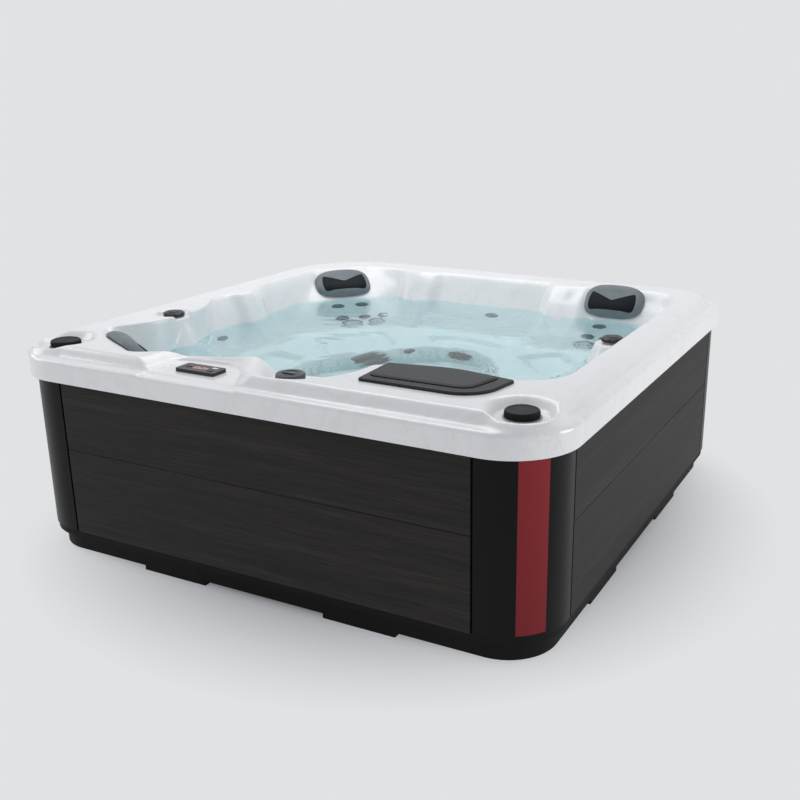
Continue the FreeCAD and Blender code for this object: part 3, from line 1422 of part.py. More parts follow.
for number, frame in enumerate(rotary_frames, start=1):
    rotor = new_body("rotary_jet_%d" % number)
    rotor_sketch = draw(rotor, "XY_Plane", "rotor_%d" % number, [("0", "0", "rotary_rotor_radius")],
                        [("0", "0", "rotary_pin_radius + shaft_gap")],
                        [("rotary_port_reach", "0", "rotary_port_radius")],
                        [("-rotary_port_reach", "0", "rotary_port_radius")])
    pad(rotor, rotor_sketch, "rotary_rotor")
    rotor.Placement = placed(frame, rotor_foot)

# Suction covers with their bodies behind the footwell wall, the return fitting and the waterline lights
suction_profile = [
    (0.0, -size("suction_body_depth")), (size("suction_body_radius"), -size("suction_body_depth")),
    (size("suction_body_radius"), 0.0), (size("suction_radius"), 0.0),
    (size("suction_radius"), size("suction_height") - size("suction_crown")),
    (size("suction_radius") - size("suction_crown"), size("suction_height") - size("suction_crown") / 3),
    (size("suction_radius") / 2, size("suction_height")), (0.0, size("suction_height")),
]
slots = []
slot_half = size("suction_slot") / 2
for step in range(10):
    angle = step * FULL_TURN / 10
    slot = Part.makeBox(size("suction_radius") / 2, 2 * slot_half, size("suction_height"),
                        vector(size("suction_radius") / 3, -slot_half, size("suction_crown")))
    slot.rotate(vector(0, 0, 0), vector(0, 0, 1), angle)
    slots.append(slot)
slots.append(cylinder(slot_half, size("suction_crown"), 2 * size("suction_height")))
cover = turned_shape(suction_profile).cut(slots[0].multiFuse(slots[1:]))
covers = []
for frame in suction_frames:
    copy = cover.copy()
    copy.Placement = placed(frame)
    covers.append(copy)
new_feature("suction_covers", Part.makeCompound(covers))
return_radius = size("return_radius")
return_height = size("return_height")
shaped("riser_return_fitting", [
    (0.0, 0.0), (return_radius, 0.0), (return_radius, return_height / 2),
    (return_radius - return_height / 2, return_height), (return_radius / 2, return_height),
    (return_radius / 3, return_height / 2), (0.0, return_height / 2),
], [return_frame])
light_radius = size("light_radius")
light_proud = size("light_proud")
shaped("waterline_lights", [
    (0.0, 0.0), (light_radius, 0.0), (light_radius, light_proud / 3),
    (light_radius - light_proud, light_proud), (0.0, light_proud),
], [jet_frame(place) for place in light_shares])

# Jet pump: motor on a foot, volute and impeller, on one axis along X
PUMP_FLOOR = "(pad_height + pan_floor)"
PUMP_AXIS = "(pad_height + pan_floor + motor_foot + motor_radius)"
ALONG_X = (0, 1, 0)
motor = new_body("jet_pump_motor")
turned(motor, "motor_section", [
    ("0", "0"),
    ("motor_radius - motor_rib", "0"),
    ("motor_radius - motor_rib", "motor_cap"),
    ("motor_radius", "motor_cap"),
    ("motor_radius", "motor_length"),
    ("shaft_radius", "motor_length"),
    ("shaft_radius", "motor_length + volute_wall + slide_gap * 4 + impeller_length"),
    ("0", "motor_length + volute_wall + slide_gap * 4 + impeller_length"),
])
rib_sketch = draw(motor, "XY_Plane", "motor_rib",
                  box_corners("-motor_radius - motor_rib", "-motor_rib_wall / 2", "-motor_radius + motor_rib / 2",
                              "motor_rib_wall / 2"))
rib_sketch.setExpression("AttachmentOffset.Base.z", bound("2 * motor_cap"))
rib_pad = pad(motor, rib_sketch, "motor_length - 4 * motor_cap")
ring_pattern(motor, rib_pad, 16)
foot_block = draw(motor, "XY_Plane", "motor_foot",
                  box_corners("motor_radius / 2", "-motor_radius * 0.7", "motor_radius + motor_foot",
                              "motor_radius * 0.7"))
foot_block.setExpression("AttachmentOffset.Base.z", bound("2 * motor_cap"))
pad(motor, foot_block, "motor_length - 4 * motor_cap")
put(motor, at(pump_share[0]) + " - motor_length", at(pump_share[1]), PUMP_AXIS, QUARTER_TURN, ALONG_X)

volute_radius = size("volute_radius")
volute_length = size("volute_length")
volute_wall = size("volute_wall")
pipe_radius = size("pipe_radius")
pipe_wall = size("pipe_wall")
outlet_reach = volute_radius - pipe_radius
casing = cylinder(volute_radius, 0.0, volute_length)
casing = casing.fuse(cylinder(pipe_radius + pipe_wall, volute_length, volute_length + size("inlet_length")))
outlet_axis = vector(-1, 0, 0)
outlet_start = vector(0, outlet_reach, volute_length / 2)
outlet_length = volute_radius + size("outlet_rise")
casing = casing.fuse(Part.makeCylinder(pipe_radius + pipe_wall, outlet_length, outlet_start, outlet_axis))
chamber = cylinder(size("impeller_radius") + 4 * slide, volute_wall, volute_length - volute_wall)
chamber = chamber.fuse(cylinder(size("shaft_radius") + slide, -overrun, volute_wall + overrun))
chamber = chamber.fuse(cylinder(pipe_radius - pipe_wall, volute_length - volute_wall - overrun,
                                volute_length + size("inlet_length") + overrun))
chamber = chamber.fuse(Part.makeCylinder(pipe_radius - pipe_wall, outlet_length + overrun, outlet_start,
                                         outlet_axis))
pump_x, pump_y = (share * half_side for share in pump_share)
pump_z = size(PUMP_AXIS)
new_feature("jet_pump_volute", casing.cut(chamber),
            FreeCAD.Placement(vector(pump_x, pump_y, pump_z), FreeCAD.Rotation(vector(*ALONG_X), QUARTER_TURN)))

impeller = new_body("jet_pump_impeller")
disc_sketch = draw(impeller, "XY_Plane", "impeller_disc", [("0", "0", "impeller_radius")],
                   [("0", "0", "shaft_radius + shaft_gap")])
pad(impeller, disc_sketch, "vane_wall")
hub_sketch = draw(impeller, "XY_Plane", "impeller_hub", [("0", "0", "impeller_hub")],
                  [("0", "0", "shaft_radius + shaft_gap")])
pad(impeller, hub_sketch, "impeller_length")
vane_sketch = draw(impeller, "XY_Plane", "vane",
                   box_corners("impeller_hub - vane_wall", "0", "impeller_radius - vane_wall", "vane_wall"))
vane_pad = pad(impeller, vane_sketch, "impeller_length")
ring_pattern(impeller, vane_pad, 6)
put(impeller, at(pump_share[0]) + " + volute_wall + 4 * slide_gap", at(pump_share[1]), PUMP_AXIS, QUARTER_TURN,
    ALONG_X)


# Circulation pump, heater, jet manifolds and the pipes between them
def pipe_shape(points, radius, bend):
    """A round bar along straight runs joined by right-angled bends."""
    edges = []
    start = points[0]
    for index in range(1, len(points) - 1):
        here = points[index]
        back = (points[index - 1] - here).normalize()
        ahead = (points[index + 1] - here).normalize()
        first = here + back * bend
        last = here + ahead * bend
        centre = first + ahead * bend
        middle = centre + (here - centre).normalize() * bend
        edges.append(Part.LineSegment(start, first).toShape())
        edges.append(Part.Arc(first, middle, last).toShape())
        start = last
    edges.append(Part.LineSegment(start, points[-1]).toShape())
    section = Part.Face(Part.Wire(Part.makeCircle(radius, points[0], points[1] - points[0])))
    return Part.Wire(edges).makePipe(section)


pan_top = size(PUMP_FLOOR)
bend = size("pipe_bend")
low_run = pan_top + pipe_radius + 4 * slide
circulation_radius = size("circulation_radius")
circulation_z = pan_top + circulation_radius
circulation_x = circulation_share * half_side
heater_x, heater_y = (share * half_side for share in heater_share)
heater_half = size("heater_length") / 2
manifold_half = size("manifold_length") / 2
manifold_z = manifold_level_share * half_side
manifold_places = [(x * half_side, y * half_side) for x, y in manifold_shares]

circulation = Part.makeCylinder(circulation_radius, size("circulation_length"),
                                vector(circulation_x, bucket_y, circulation_z), vector(1, 0, 0))
circulation = circulation.fuse(Part.makeCylinder(pipe_radius + pipe_wall, size("circulation_length") + 2 * bend,
                                                 vector(circulation_x - bend, bucket_y, circulation_z),
                                                 vector(1, 0, 0)))
new_feature("circulation_pump", circulation)

heater_end = heater_half - size("heater_union_length")
heater = Part.makeCylinder(size("heater_radius"), 2 * heater_half,
                           vector(heater_x, heater_y - heater_half, circulation_z), vector(0, 1, 0))
unions = []
for start in (heater_y - heater_half, heater_y + heater_end):
    unions.append(Part.makeCylinder(size("heater_radius") + size("heater_union"), size("heater_union_length"),
                                    vector(heater_x, start, circulation_z), vector(0, 1, 0)))
saddle = size("saddle_wall")
for start in (heater_y - heater_end / 2 - saddle / 2, heater_y + heater_end / 2 - saddle / 2):
    unions.append(Part.makeBox(2 * size("heater_radius"), saddle, circulation_z - pan_top,
                               vector(heater_x - size("heater_radius"), start, pan_top)))
new_feature("heater", heater.multiFuse(unions))

manifolds = []
for x, y in manifold_places:
    body = Part.makeCylinder(size("manifold_radius"), 2 * manifold_half, vector(x, y - manifold_half, manifold_z),
                             vector(0, 1, 0))
    nipples = []
    for step in range(-3, 4):
        place = vector(x, y + step * size("nipple_spacing"), manifold_z)
        nipples.append(Part.makeCylinder(size("nipple_radius"), size("manifold_radius") + size("nipple_length"),
                                         place, vector(0, 0, 1)))
    manifolds.append(body.multiFuse(nipples))
new_feature("jet_manifolds", Part.makeCompound(manifolds))

inlet_x = pump_x + volute_length + size("inlet_length")
suction_a, suction_b = (frame[0] - frame[3] * size("suction_body_depth") for frame in suction_frames)
rear_y = suction_a.y + 2 * bend
main_x = suction_a.x
behind_b = suction_b - suction_frames[1][3] * (1.2 * bend)
suction_main = [suction_a, vector(main_x, rear_y, suction_a.z), vector(main_x, rear_y, low_run),
                vector(main_x, pump_y, low_run), vector(main_x, pump_y, pump_z), vector(inlet_x, pump_y, pump_z)]
suction_branch = [suction_b, behind_b, vector(behind_b.x, behind_b.y, low_run),
                  vector(main_x - pipe_radius / 2, behind_b.y, low_run)]
outlet_x = pump_x + volute_length / 2
outlet_y = pump_y + outlet_reach
outlet_z = pump_z + outlet_length
left_x, left_y = manifold_places[0]
right_x, right_y = manifold_places[1]
jet_line = [vector(outlet_x, outlet_y, outlet_z), vector(outlet_x, outlet_y, manifold_z),
            vector(left_x, outlet_y, manifold_z), vector(left_x, left_y - manifold_half, manifold_z)]
bucket_line = [vector(bucket_x, bucket_y, bucket_foot), vector(bucket_x, bucket_y, circulation_z),
               vector(circulation_x - bend, bucket_y, circulation_z)]
pump_end = circulation_x + size("circulation_length") + bend
heater_line = [vector(pump_end, bucket_y, circulation_z), vector(heater_x, bucket_y, circulation_z),
               vector(heater_x, heater_y - heater_half, circulation_z)]
warm_line = [vector(heater_x, heater_y + heater_half, circulation_z),
             vector(heater_x, heater_y + heater_half + 2 * bend, circulation_z),
             vector(heater_x, heater_y + heater_half + 2 * bend, manifold_z),
             vector(right_x, right_y - manifold_half, manifold_z)]
tubes = []
for line in (suction_main, jet_line, bucket_line, heater_line, warm_line):
    tubes.append(pipe_shape(line, pipe_radius, bend))
hollows = [pipe_shape(line, pipe_radius - pipe_wall, bend)
           for line in (suction_main, suction_branch, jet_line, bucket_line, heater_line, warm_line)]
tubes[0] = tubes[0].fuse(pipe_shape(suction_branch, pipe_radius, bend))
tubes = [tube.cut(hollows[0].multiFuse(hollows[1:])) for tube in tubes]
new_feature("plumbing", Part.makeCompound(tubes))

# Control box on the pan floor
box_body = new_body("control_box")
box_sketch = draw(box_body, "XY_Plane", "control_box",
                  rounded_box("control_width / 2", "control_length / 2", "control_bevel"))
pad(box_body, box_sketch, "control_height - control_lid")
cover_sketch = draw(box_body, "XY_Plane", "control_lid",
                    rounded_box("(control_width / 2 + control_lid_lip)", "(control_length / 2 + control_lid_lip)",
                                "control_bevel"))
cover_sketch.setExpression("AttachmentOffset.Base.z", bound("control_height - control_lid"))
pad(box_body, cover_sketch, "control_lid")
put(box_body, at(control_share[0]), at(control_share[1]), PUMP_FLOOR)

# Drain spigot on the pan's back wall
spigot = new_body("drain_spigot")
turned(spigot, "spigot_section", [
    ("spigot_bore", "0"),
    ("spigot_flange_radius", "0"),
    ("spigot_flange_radius", "spigot_flange"),
    ("spigot_radius", "spigot_flange"),
    ("spigot_radius", "spigot_flange + spigot_length"),
    ("spigot_bore", "spigot_flange + spigot_length"),
])
put(spigot, "-spigot_side", CABINET_HALF + " - pan_inset", "pad_height + spigot_drop", -QUARTER_TURN, (1, 0, 0))

# Check of every object, then one STEP file a node
document.recompute()
for thing in document.Objects:
    if "Invalid" in thing.State or "Error" in thing.State:
        raise ValueError("%s is in state %s" % (thing.Label, thing.State))
for node in nodes:
    if node.Shape.isNull() or not node.Shape.isValid() or not node.Shape.Solids:
        raise ValueError("%s has no valid solid" % node.Label)
os.makedirs("parts", exist_ok=True)
for node in nodes:
    node.Shape.exportStep("parts/%s.step" % node.Label)
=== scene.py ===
import bpy
import math
import numpy as np
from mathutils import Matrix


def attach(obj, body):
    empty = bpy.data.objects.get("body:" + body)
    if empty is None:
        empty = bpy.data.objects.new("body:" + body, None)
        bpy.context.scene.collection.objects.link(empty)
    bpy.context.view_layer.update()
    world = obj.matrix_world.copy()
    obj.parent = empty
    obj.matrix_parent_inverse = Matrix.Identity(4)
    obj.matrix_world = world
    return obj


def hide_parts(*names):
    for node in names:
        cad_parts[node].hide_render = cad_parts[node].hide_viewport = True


# Looks of a square acrylic hot tub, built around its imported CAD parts.
# Metres; +X to the right along the front, +Y to the back.

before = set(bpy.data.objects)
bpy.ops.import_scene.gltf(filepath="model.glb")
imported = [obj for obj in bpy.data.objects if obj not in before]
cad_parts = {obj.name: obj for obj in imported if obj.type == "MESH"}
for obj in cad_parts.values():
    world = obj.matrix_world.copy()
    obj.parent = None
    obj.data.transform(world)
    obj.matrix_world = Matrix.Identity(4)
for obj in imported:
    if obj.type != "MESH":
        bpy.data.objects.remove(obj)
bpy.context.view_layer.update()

# Moulded shell: one vacuum-formed sheet of marbled acrylic, with lip, deck, reclined seat backs and footwell.
# Its surface is one height over the plan, so every hollow and rib runs into the next with a moulder's radius.
# It is shown as a rim and a basin that meet below the water line.

TUB_HALF = 1.100
LIP_RADIUS = 0.235
LIP_FOOT = 0.710
LEDGE = 0.790
DECK = 0.828
WATER = 0.700
BENCH = 0.330
FOOT = 0.120
LIP_EDGE = 0.014
PLATEAU_HALF = 1.052
REAR_LEFT_RADIUS = 0.400
SHELL_WALL = 0.008
SPLIT = 0.640
BACK_TOP = DECK - 0.012
BACK_FALL, BACK_END_ROUND = 3.2, 0.045
WALL_SLOPE = 4.0
RISER_EARLY, RISER_RUN = 0.006, 0.044
SEAT_DEPTH, SEAT_CORNER = 0.045, 0.06

# The well's outline as corners (x, y, radius). Plan measures from here to SHELF are shares of the half side.
WELL_CORNERS = np.array([
    (0.845, -0.627, 0.155), (0.845, 0.805, 0.120), (-0.633, 0.805, 0.055), (-0.823, 0.595, 0.055),
    (-0.823, -0.715, 0.080), (-0.523, -0.877, 0.050), (-0.360, -0.777, 0.065), (-0.136, -0.740, 0.140),
    (0.227, -0.668, 0.110), (0.314, -0.627, 0.110), (0.545, -0.593, 0.550)]) * TUB_HALF
# Seat backs: two ends, the lean by the water line and by the bench, and the run on past each end.
BACKS = {
    "right": ((0.845, -0.430), (0.845, 0.700), 0.055, 0.170, 0.060, 0.100),
    "back_right": ((0.845, 0.805), (0.430, 0.805), 0.105, 0.280, 0.0, 0.0),
    "right_pillar": ((0.430, 0.760), (0.300, 0.760), 0.090, 0.250, 0.0, 0.0),
    "back_middle": ((0.300, 0.805), (-0.300, 0.805), 0.068, 0.225, 0.0, 0.0),
    "left_pillar": ((-0.300, 0.765), (-0.405, 0.765), 0.064, 0.215, 0.0, 0.0),
    "back_left_end": ((-0.385, 0.805), (-0.633, 0.805), 0.075, 0.255, 0.0, 0.060),
    "back_left": ((-0.633, 0.805), (-0.823, 0.595), 0.155, 0.360, 0.060, 0.190),
    "left_rear": ((-0.823, 0.640), (-0.823, 0.125), 0.045, 0.155, 0.0, 0.0),
    "left_rib": ((-0.777, 0.120), (-0.777, 0.035), 0.032, 0.130, 0.0, 0.0),
    "left": ((-0.823, 0.030), (-0.823, -0.330), 0.045, 0.130, 0.0, 0.0),
    "left_ledge": ((-0.738, -0.340), (-0.738, -0.433), 0.005, 0.065, 0.0, 0.0),
    "left_front": ((-0.823, -0.440), (-0.823, -0.730), 0.045, 0.130, 0.0, 0.0),
    "front_left": ((-0.823, -0.715), (-0.523, -0.877), 0.105, 0.270, 0.100, 0.250),
    "front": ((-0.400, -0.782), (0.227, -0.668), 0.024, 0.090, 0.0, 0.0),
}
# Ribs between seats: nose x and y, half width, and the way that the nose faces in degrees.
RIBS = ((0.365, 0.760, 0.035, -90.0), (-0.355, 0.765, 0.035, -90.0), (-0.777, 0.078, 0.035, 0.0),
        (-0.738, -0.386, 0.040, 0.0))
FOOTWELL = np.array([(-0.382, -0.345), (0.382, -0.345), (0.382, 0.073), (0.175, 0.336), (-0.030, 0.336),
                     (-0.382, 0.000)]) * TUB_HALF
# Pressed seats: middle x and y, half width and half depth, and turn in degrees.
SEATS = ((-0.390, 0.250, 0.170, 0.130, 47.7), (-0.520, -0.150, 0.100, 0.130, 0.0),
         (-0.500, -0.480, 0.130, 0.095, -28.0), (0.040, 0.440, 0.180, 0.062, 0.0),
         (0.470, 0.330, 0.130, 0.110, -45.0), (0.530, -0.110, 0.105, 0.150, 0.0))
PLATFORM = np.array([(-0.425, -1.160), (0.085, -1.160), (-0.110, -0.800), (-0.165, -0.765),
                     (-0.395, -0.785)]) * TUB_HALF
SHELF = np.array([(-0.010, -0.862), (0.110, -0.866), (0.200, -0.770), (0.215, -0.560), (-0.070, -0.560),
                  (-0.070, -0.780)]) * TUB_HALF
# Levels, dishes, knobs and filter openings: metres again.
SHELF_LEVEL = 0.7653
PLATFORM_STEP = 0.011
DISH_LEVEL, DISH_RADIUS = 0.797, 0.097
DISH_RIM_LEVEL, DISH_RIM_RADIUS, DISH_SLOPE = 0.814, 0.114, 1.1
DISH_PLACES = ((-0.935, -0.935), (0.935, -0.935))
LEFT_KNOB = (-0.8635, -0.4246, 0.8115)
RIGHT_KNOB = (0.8613, 0.1232, 0.7752)
KNOB_FLAT, KNOB_SLOPE = 0.062, 1.8
BOSS_RADIUS, BOSS_SLOPE = 0.066, 2.6
DIVERTER = (0.0352, -0.8547, 0.7653)
FILTER_X, FILTER_Y = 0.5654, -0.8052
FILTER_HOLE = (0.1705, 0.0885, 0.030)
HOLE_LOW, HOLE_HIGH = 0.790, 0.870
MOUTH_TOP, MOUTH_HEIGHT, MOUTH_WIDTH = 0.750, 0.096, 0.180
MOUTH_FRONT, MOUTH_REAR = -0.745, -0.560


def soft_max(a, b, k):
    """The larger of two heights, rounded where they come within k of each other."""
    near = np.maximum(k - np.abs(a - b), 0.0) / k
    return np.maximum(a, b) + near * near * k / 4


def soft_min(a, b, k):
    """The smaller of two heights, rounded where they come within k of each other."""
    return -soft_max(-a, -b, k)


def ease(t):
    """A smooth step from 0 to 1."""
    t = np.clip(t, 0.0, 1.0)
    return t * t * (3 - 2 * t)


def square_distance(x, y, half_x, half_y, radius):
    """Distance outside a rounded rectangle about the origin, negative inside."""
    qx = np.abs(x) - half_x + radius
    qy = np.abs(y) - half_y + radius
    outside = np.hypot(np.maximum(qx, 0), np.maximum(qy, 0))
    return outside + np.minimum(np.maximum(qx, qy), 0.0) - radius


def convex_distance(x, y, corners, k):
    """Distance outside a convex outline given anticlockwise, its corners rounded by k."""
    result = None
    for here, after in zip(corners, np.roll(corners, -1, axis=0)):
        side = (after - here) / np.linalg.norm(after - here)
        away = (x - here[0]) * side[1] - (y - here[1]) * side[0]
        result = away if result is None else soft_max(result, away, k)
    return result


def rounded_outline(corners, steps=7):
    """Points of a closed outline whose corners (x, y, radius) are replaced by arcs, anticlockwise."""
    points = []
    for index, (x, y, radius) in enumerate(corners):
        here = np.array([x, y])
        back = corners[index - 1][:2] - here
        ahead = corners[(index + 1) % len(corners)][:2] - here
        back = back / np.linalg.norm(back)
        ahead = ahead / np.linalg.norm(ahead)
        half = math.acos(np.clip(back @ ahead, -1, 1)) / 2
        middle = (back + ahead) / np.linalg.norm(back + ahead)
        centre = here + middle * radius / math.sin(half)
        first = here + back * radius / math.tan(half) - centre
        last = here + ahead * radius / math.tan(half) - centre
        start = math.atan2(first[1], first[0])
        turn = (math.atan2(last[1], last[0]) - start + math.pi) % (2 * math.pi) - math.pi
        angles = start + turn * np.linspace(0, 1, steps)
        points.append(centre + radius * np.stack([np.cos(angles), np.sin(angles)], axis=1))
    return np.concatenate(points)


def outline_distance(x, y, outline):
    """Distance outside a closed outline of many points, negative inside."""
    best = np.full(x.shape, 1e9)
    inside = np.zeros(x.shape, bool)
    for (ax, ay), (bx, by) in zip(outline, np.roll(outline, -1, axis=0)):
        ex, ey = bx - ax, by - ay
        part = np.clip(((x - ax) * ex + (y - ay) * ey) / (ex * ex + ey * ey + 1e-12), 0, 1)
        best = np.minimum(best, (x - ax - ex * part) ** 2 + (y - ay - ey * part) ** 2)
        crosses = ((ay > y) != (by > y)) & (x < ex * (y - ay) / (ey if ey else 1e-12) + ax)
        inside ^= crosses
    return np.where(inside, -1.0, 1.0) * np.sqrt(best)


def reclined_back(x, y, back):
    """Height of one seat back: a steep lower and a flatter upper slope, falling away past its two ends."""
    (sx, sy), (ex, ey), lean_water, lean_bench, run_start, run_end = back
    start = np.array([sx, sy]) * TUB_HALF
    end = np.array([ex, ey]) * TUB_HALF
    length = np.linalg.norm(end - start)
    along = (end - start) / length
    t = (x - start[0]) * along[0] + (y - start[1]) * along[1]
    q = -(x - start[0]) * along[1] + (y - start[1]) * along[0]
    leans_and_runs = (lean_water, lean_bench, run_start, run_end)
    lean_water, lean_bench, run_start, run_end = (value * TUB_HALF for value in leans_and_runs)
    upper = BACK_TOP - (BACK_TOP - WATER) / lean_water * q
    lower = WATER - (WATER - BENCH) / (lean_bench - lean_water) * (q - lean_water)
    slope_grows = (WATER - BENCH) / (lean_bench - lean_water) > (BACK_TOP - WATER) / lean_water
    height = soft_min(upper, lower, 0.05) if slope_grows else np.where(q < lean_water, upper, lower)
    past = np.maximum(np.maximum(-run_start - t, t - length - run_end), 0.0)
    return height - BACK_FALL * (np.hypot(past, BACK_END_ROUND) - BACK_END_ROUND) - 24 * past * past


WELL_OUTLINE = rounded_outline(WELL_CORNERS)


def deck_height(x, y):
    """Height of lip, ledge, riser and deck, with the dishes, the lowered platform and the notch pressed in."""
    inset = -square_distance(x, y, TUB_HALF, TUB_HALF, LIP_RADIUS)
    edge = np.clip(inset, 0.0, LIP_EDGE)
    z = LEDGE - LIP_EDGE + np.sqrt(np.maximum(LIP_EDGE ** 2 - (LIP_EDGE - edge) ** 2, 0.0))
    corner = PLATEAU_HALF - REAR_LEFT_RADIUS
    out = np.hypot(np.maximum(-x - corner, 0), np.maximum(y - corner, 0)) - REAR_LEFT_RADIUS
    rise = np.minimum(inset - (TUB_HALF - PLATEAU_HALF), np.where((x < -corner) & (y > corner), -out, 1.0))
    z = z + (DECK - LEDGE) * ease((rise + RISER_EARLY) / RISER_RUN)
    for cx, cy in DISH_PLACES:
        away = np.hypot(x - cx, y - cy)
        ring = DISH_RIM_LEVEL - DISH_SLOPE * np.maximum(away - DISH_RIM_RADIUS, 0.0)
        z = soft_max(z, ring, 0.016)
        z = soft_min(z, DISH_LEVEL + DISH_SLOPE * np.maximum(away - DISH_RADIUS + 0.010, 0.0), 0.012)
    away = np.hypot(x - LEFT_KNOB[0], y - LEFT_KNOB[1])
    z = soft_min(z, LEFT_KNOB[2] + KNOB_SLOPE * np.maximum(away - KNOB_FLAT, 0.0), 0.005)
    sunk = convex_distance(x, y, PLATFORM, 0.045)
    border = LEDGE + PLATFORM_STEP * ease((sunk + 0.020) / 0.012) + 0.75 * np.maximum(sunk + 0.004, 0.0)
    z = soft_min(z, border, 0.020)
    notch = convex_distance(x, y, SHELF, 0.075)
    return soft_min(z, SHELF_LEVEL + 1.2 * np.maximum(notch + 0.004, 0.0), 0.040)


def well_height(x, y):
    """Height inside the well: seat backs, ribs, the knob's boss, the bench with its seats and the footwell."""
    sunk = convex_distance(x, y, FOOTWELL, 0.10)
    floor = soft_min(soft_max(FOOT + 0 * x, BENCH + 20 * sunk, 0.05), BENCH + 0 * x, 0.03)
    for sx, sy, half_x, half_y, turn in SEATS:
        c, s = math.cos(math.radians(turn)), math.sin(math.radians(turn))
        dx, dy = x - sx * TUB_HALF, y - sy * TUB_HALF
        away = square_distance(dx * c + dy * s, -dx * s + dy * c, half_x * TUB_HALF, half_y * TUB_HALF,
                               SEAT_CORNER)
        floor = floor - SEAT_DEPTH * ease(-away / SEAT_DEPTH)
    wall = outline_distance(x, y, WELL_OUTLINE)
    for rx, ry, nose, facing in RIBS:
        c, s = math.cos(math.radians(facing)), math.sin(math.radians(facing))
        dx, dy = x - rx * TUB_HALF, y - ry * TUB_HALF
        out = dx * c + dy * s
        side = -dx * s + dy * c
        half = nose * TUB_HALF + 0.45 * np.clip(-out, 0, 0.12)
        rib = soft_max(out, np.abs(side) - half, 0.08)
        wall = soft_max(wall, -rib, 0.09)
    z = soft_max(floor, DECK + WALL_SLOPE * wall, 0.08)
    for back in BACKS.values():
        z = soft_max(z, reclined_back(x, y, back), 0.095)
    away = np.hypot(x - RIGHT_KNOB[0], y - RIGHT_KNOB[1])
    boss = RIGHT_KNOB[2] - BOSS_SLOPE * np.maximum(away - BOSS_RADIUS, 0.0)
    return soft_max(z, boss, 0.040)


def shell_height(x, y):
    """Height of the whole moulding."""
    return soft_min(deck_height(x, y), well_height(x, y), 0.080)


def ray_angles(count):
    """Directions from the middle of the tub, closer together towards the front."""
    fine = np.linspace(0, 2 * math.pi, 4001)
    weight = 1.0 + 0.9 * ease((-np.sin(fine) + 0.25) / 1.1)
    travel = np.concatenate([[0], np.cumsum((weight[1:] + weight[:-1]) / 2)])
    return np.interp(np.arange(count) / count * travel[-1], travel, fine)


def edge_reach(angles):
    """Distance from the middle to the lip's outer face in each direction."""
    low, high = np.zeros_like(angles), np.full_like(angles, 2.0)
    for step in range(40):
        middle = (low + high) / 2
        x, y = middle * np.cos(angles), middle * np.sin(angles)
        inside = square_distance(x, y, TUB_HALF, TUB_HALF, LIP_RADIUS) < 0
        low, high = np.where(inside, middle, low), np.where(inside, high, middle)
    return (low + high) / 2


def along_rays(angles, outer, inner, rows, height, fine=700):
    """Points evenly spaced by their length along the surface, between two distances on each ray."""
    share = np.linspace(0, 1, fine)
    reach = outer[:, None] + (inner - outer)[:, None] * share
    x, y = reach * np.cos(angles)[:, None], reach * np.sin(angles)[:, None]
    z = height(x, y)
    run = np.hypot(np.diff(reach, axis=1), np.diff(z, axis=1))
    travel = np.concatenate([np.zeros((len(angles), 1)), np.cumsum(run, axis=1)], axis=1)
    grid = np.empty((len(angles), rows, 3))
    for index in range(len(angles)):
        stops = np.linspace(0, travel[index, -1], rows)
        grid[index, :, 0] = np.interp(stops, travel[index], x[index])
        grid[index, :, 1] = np.interp(stops, travel[index], y[index])
        grid[index, :, 2] = np.interp(stops, travel[index], z[index])
    return grid


def mesh_object(name, points, faces, body, smooth=True):
    """A mesh piece that rides on a body."""
    mesh = bpy.data.meshes.new(name)
    mesh.from_pydata(np.asarray(points).reshape(-1, 3).tolist(), [], [list(face) for face in faces])
    mesh.validate()
    mesh.polygons.foreach_set("use_smooth", [smooth] * len(mesh.polygons))
    piece = bpy.data.objects.new(name, mesh)
    bpy.context.scene.collection.objects.link(piece)
    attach(piece, body)
    return piece


def grid_faces(rings, count, flip=False, start=0):
    """Quads of a grid of closed rings, each ring having count points."""
    ring, step = np.meshgrid(np.arange(rings - 1), np.arange(count), indexing="ij")
    after = (step + 1) % count
    quads = np.stack([ring * count + step, ring * count + after, (ring + 1) * count + after,
                      (ring + 1) * count + step], axis=-1).reshape(-1, 4) + start
    return quads[:, ::-1] if flip else quads


def first_reach(angles, outer, level, fine=900):
    """How far out each ray crosses a level on its way in from the rim."""
    share = np.linspace(0, 1, fine)
    reach = outer[:, None] * (1 - share)
    z = shell_height(reach * np.cos(angles)[:, None], reach * np.sin(angles)[:, None])
    index = np.argmax(z < level, axis=1)
    rows = np.arange(len(angles))
    z_out, z_in = z[rows, index - 1], z[rows, index]
    part = (z_out - level) / (z_out - z_in)
    return reach[rows, index - 1] + (reach[rows, index] - reach[rows, index - 1]) * part


RAYS, RIM_ROWS, BASIN_ROWS, UNDER_STEP = 900, 80, 76, 4
MIDDLE = 0.004
rays = ray_angles(RAYS)
lip_reach = edge_reach(rays) - 1e-5
split_reach = first_reach(rays, lip_reach, SPLIT)


def underside(rows, step):
    """Rows for the hidden face of a moulding: every few rows, a wall's thickness under the lowest neighbour."""
    padded = np.pad(rows[:, :, 2], ((0, 0), (step, step)), mode="edge")
    lowest = np.min([padded[:, k:k + rows.shape[1]] for k in range(2 * step + 1)], axis=0)
    result = rows.copy()
    result[:, :, 2] = lowest - SHELL_WALL
    return result[:, ::-step]


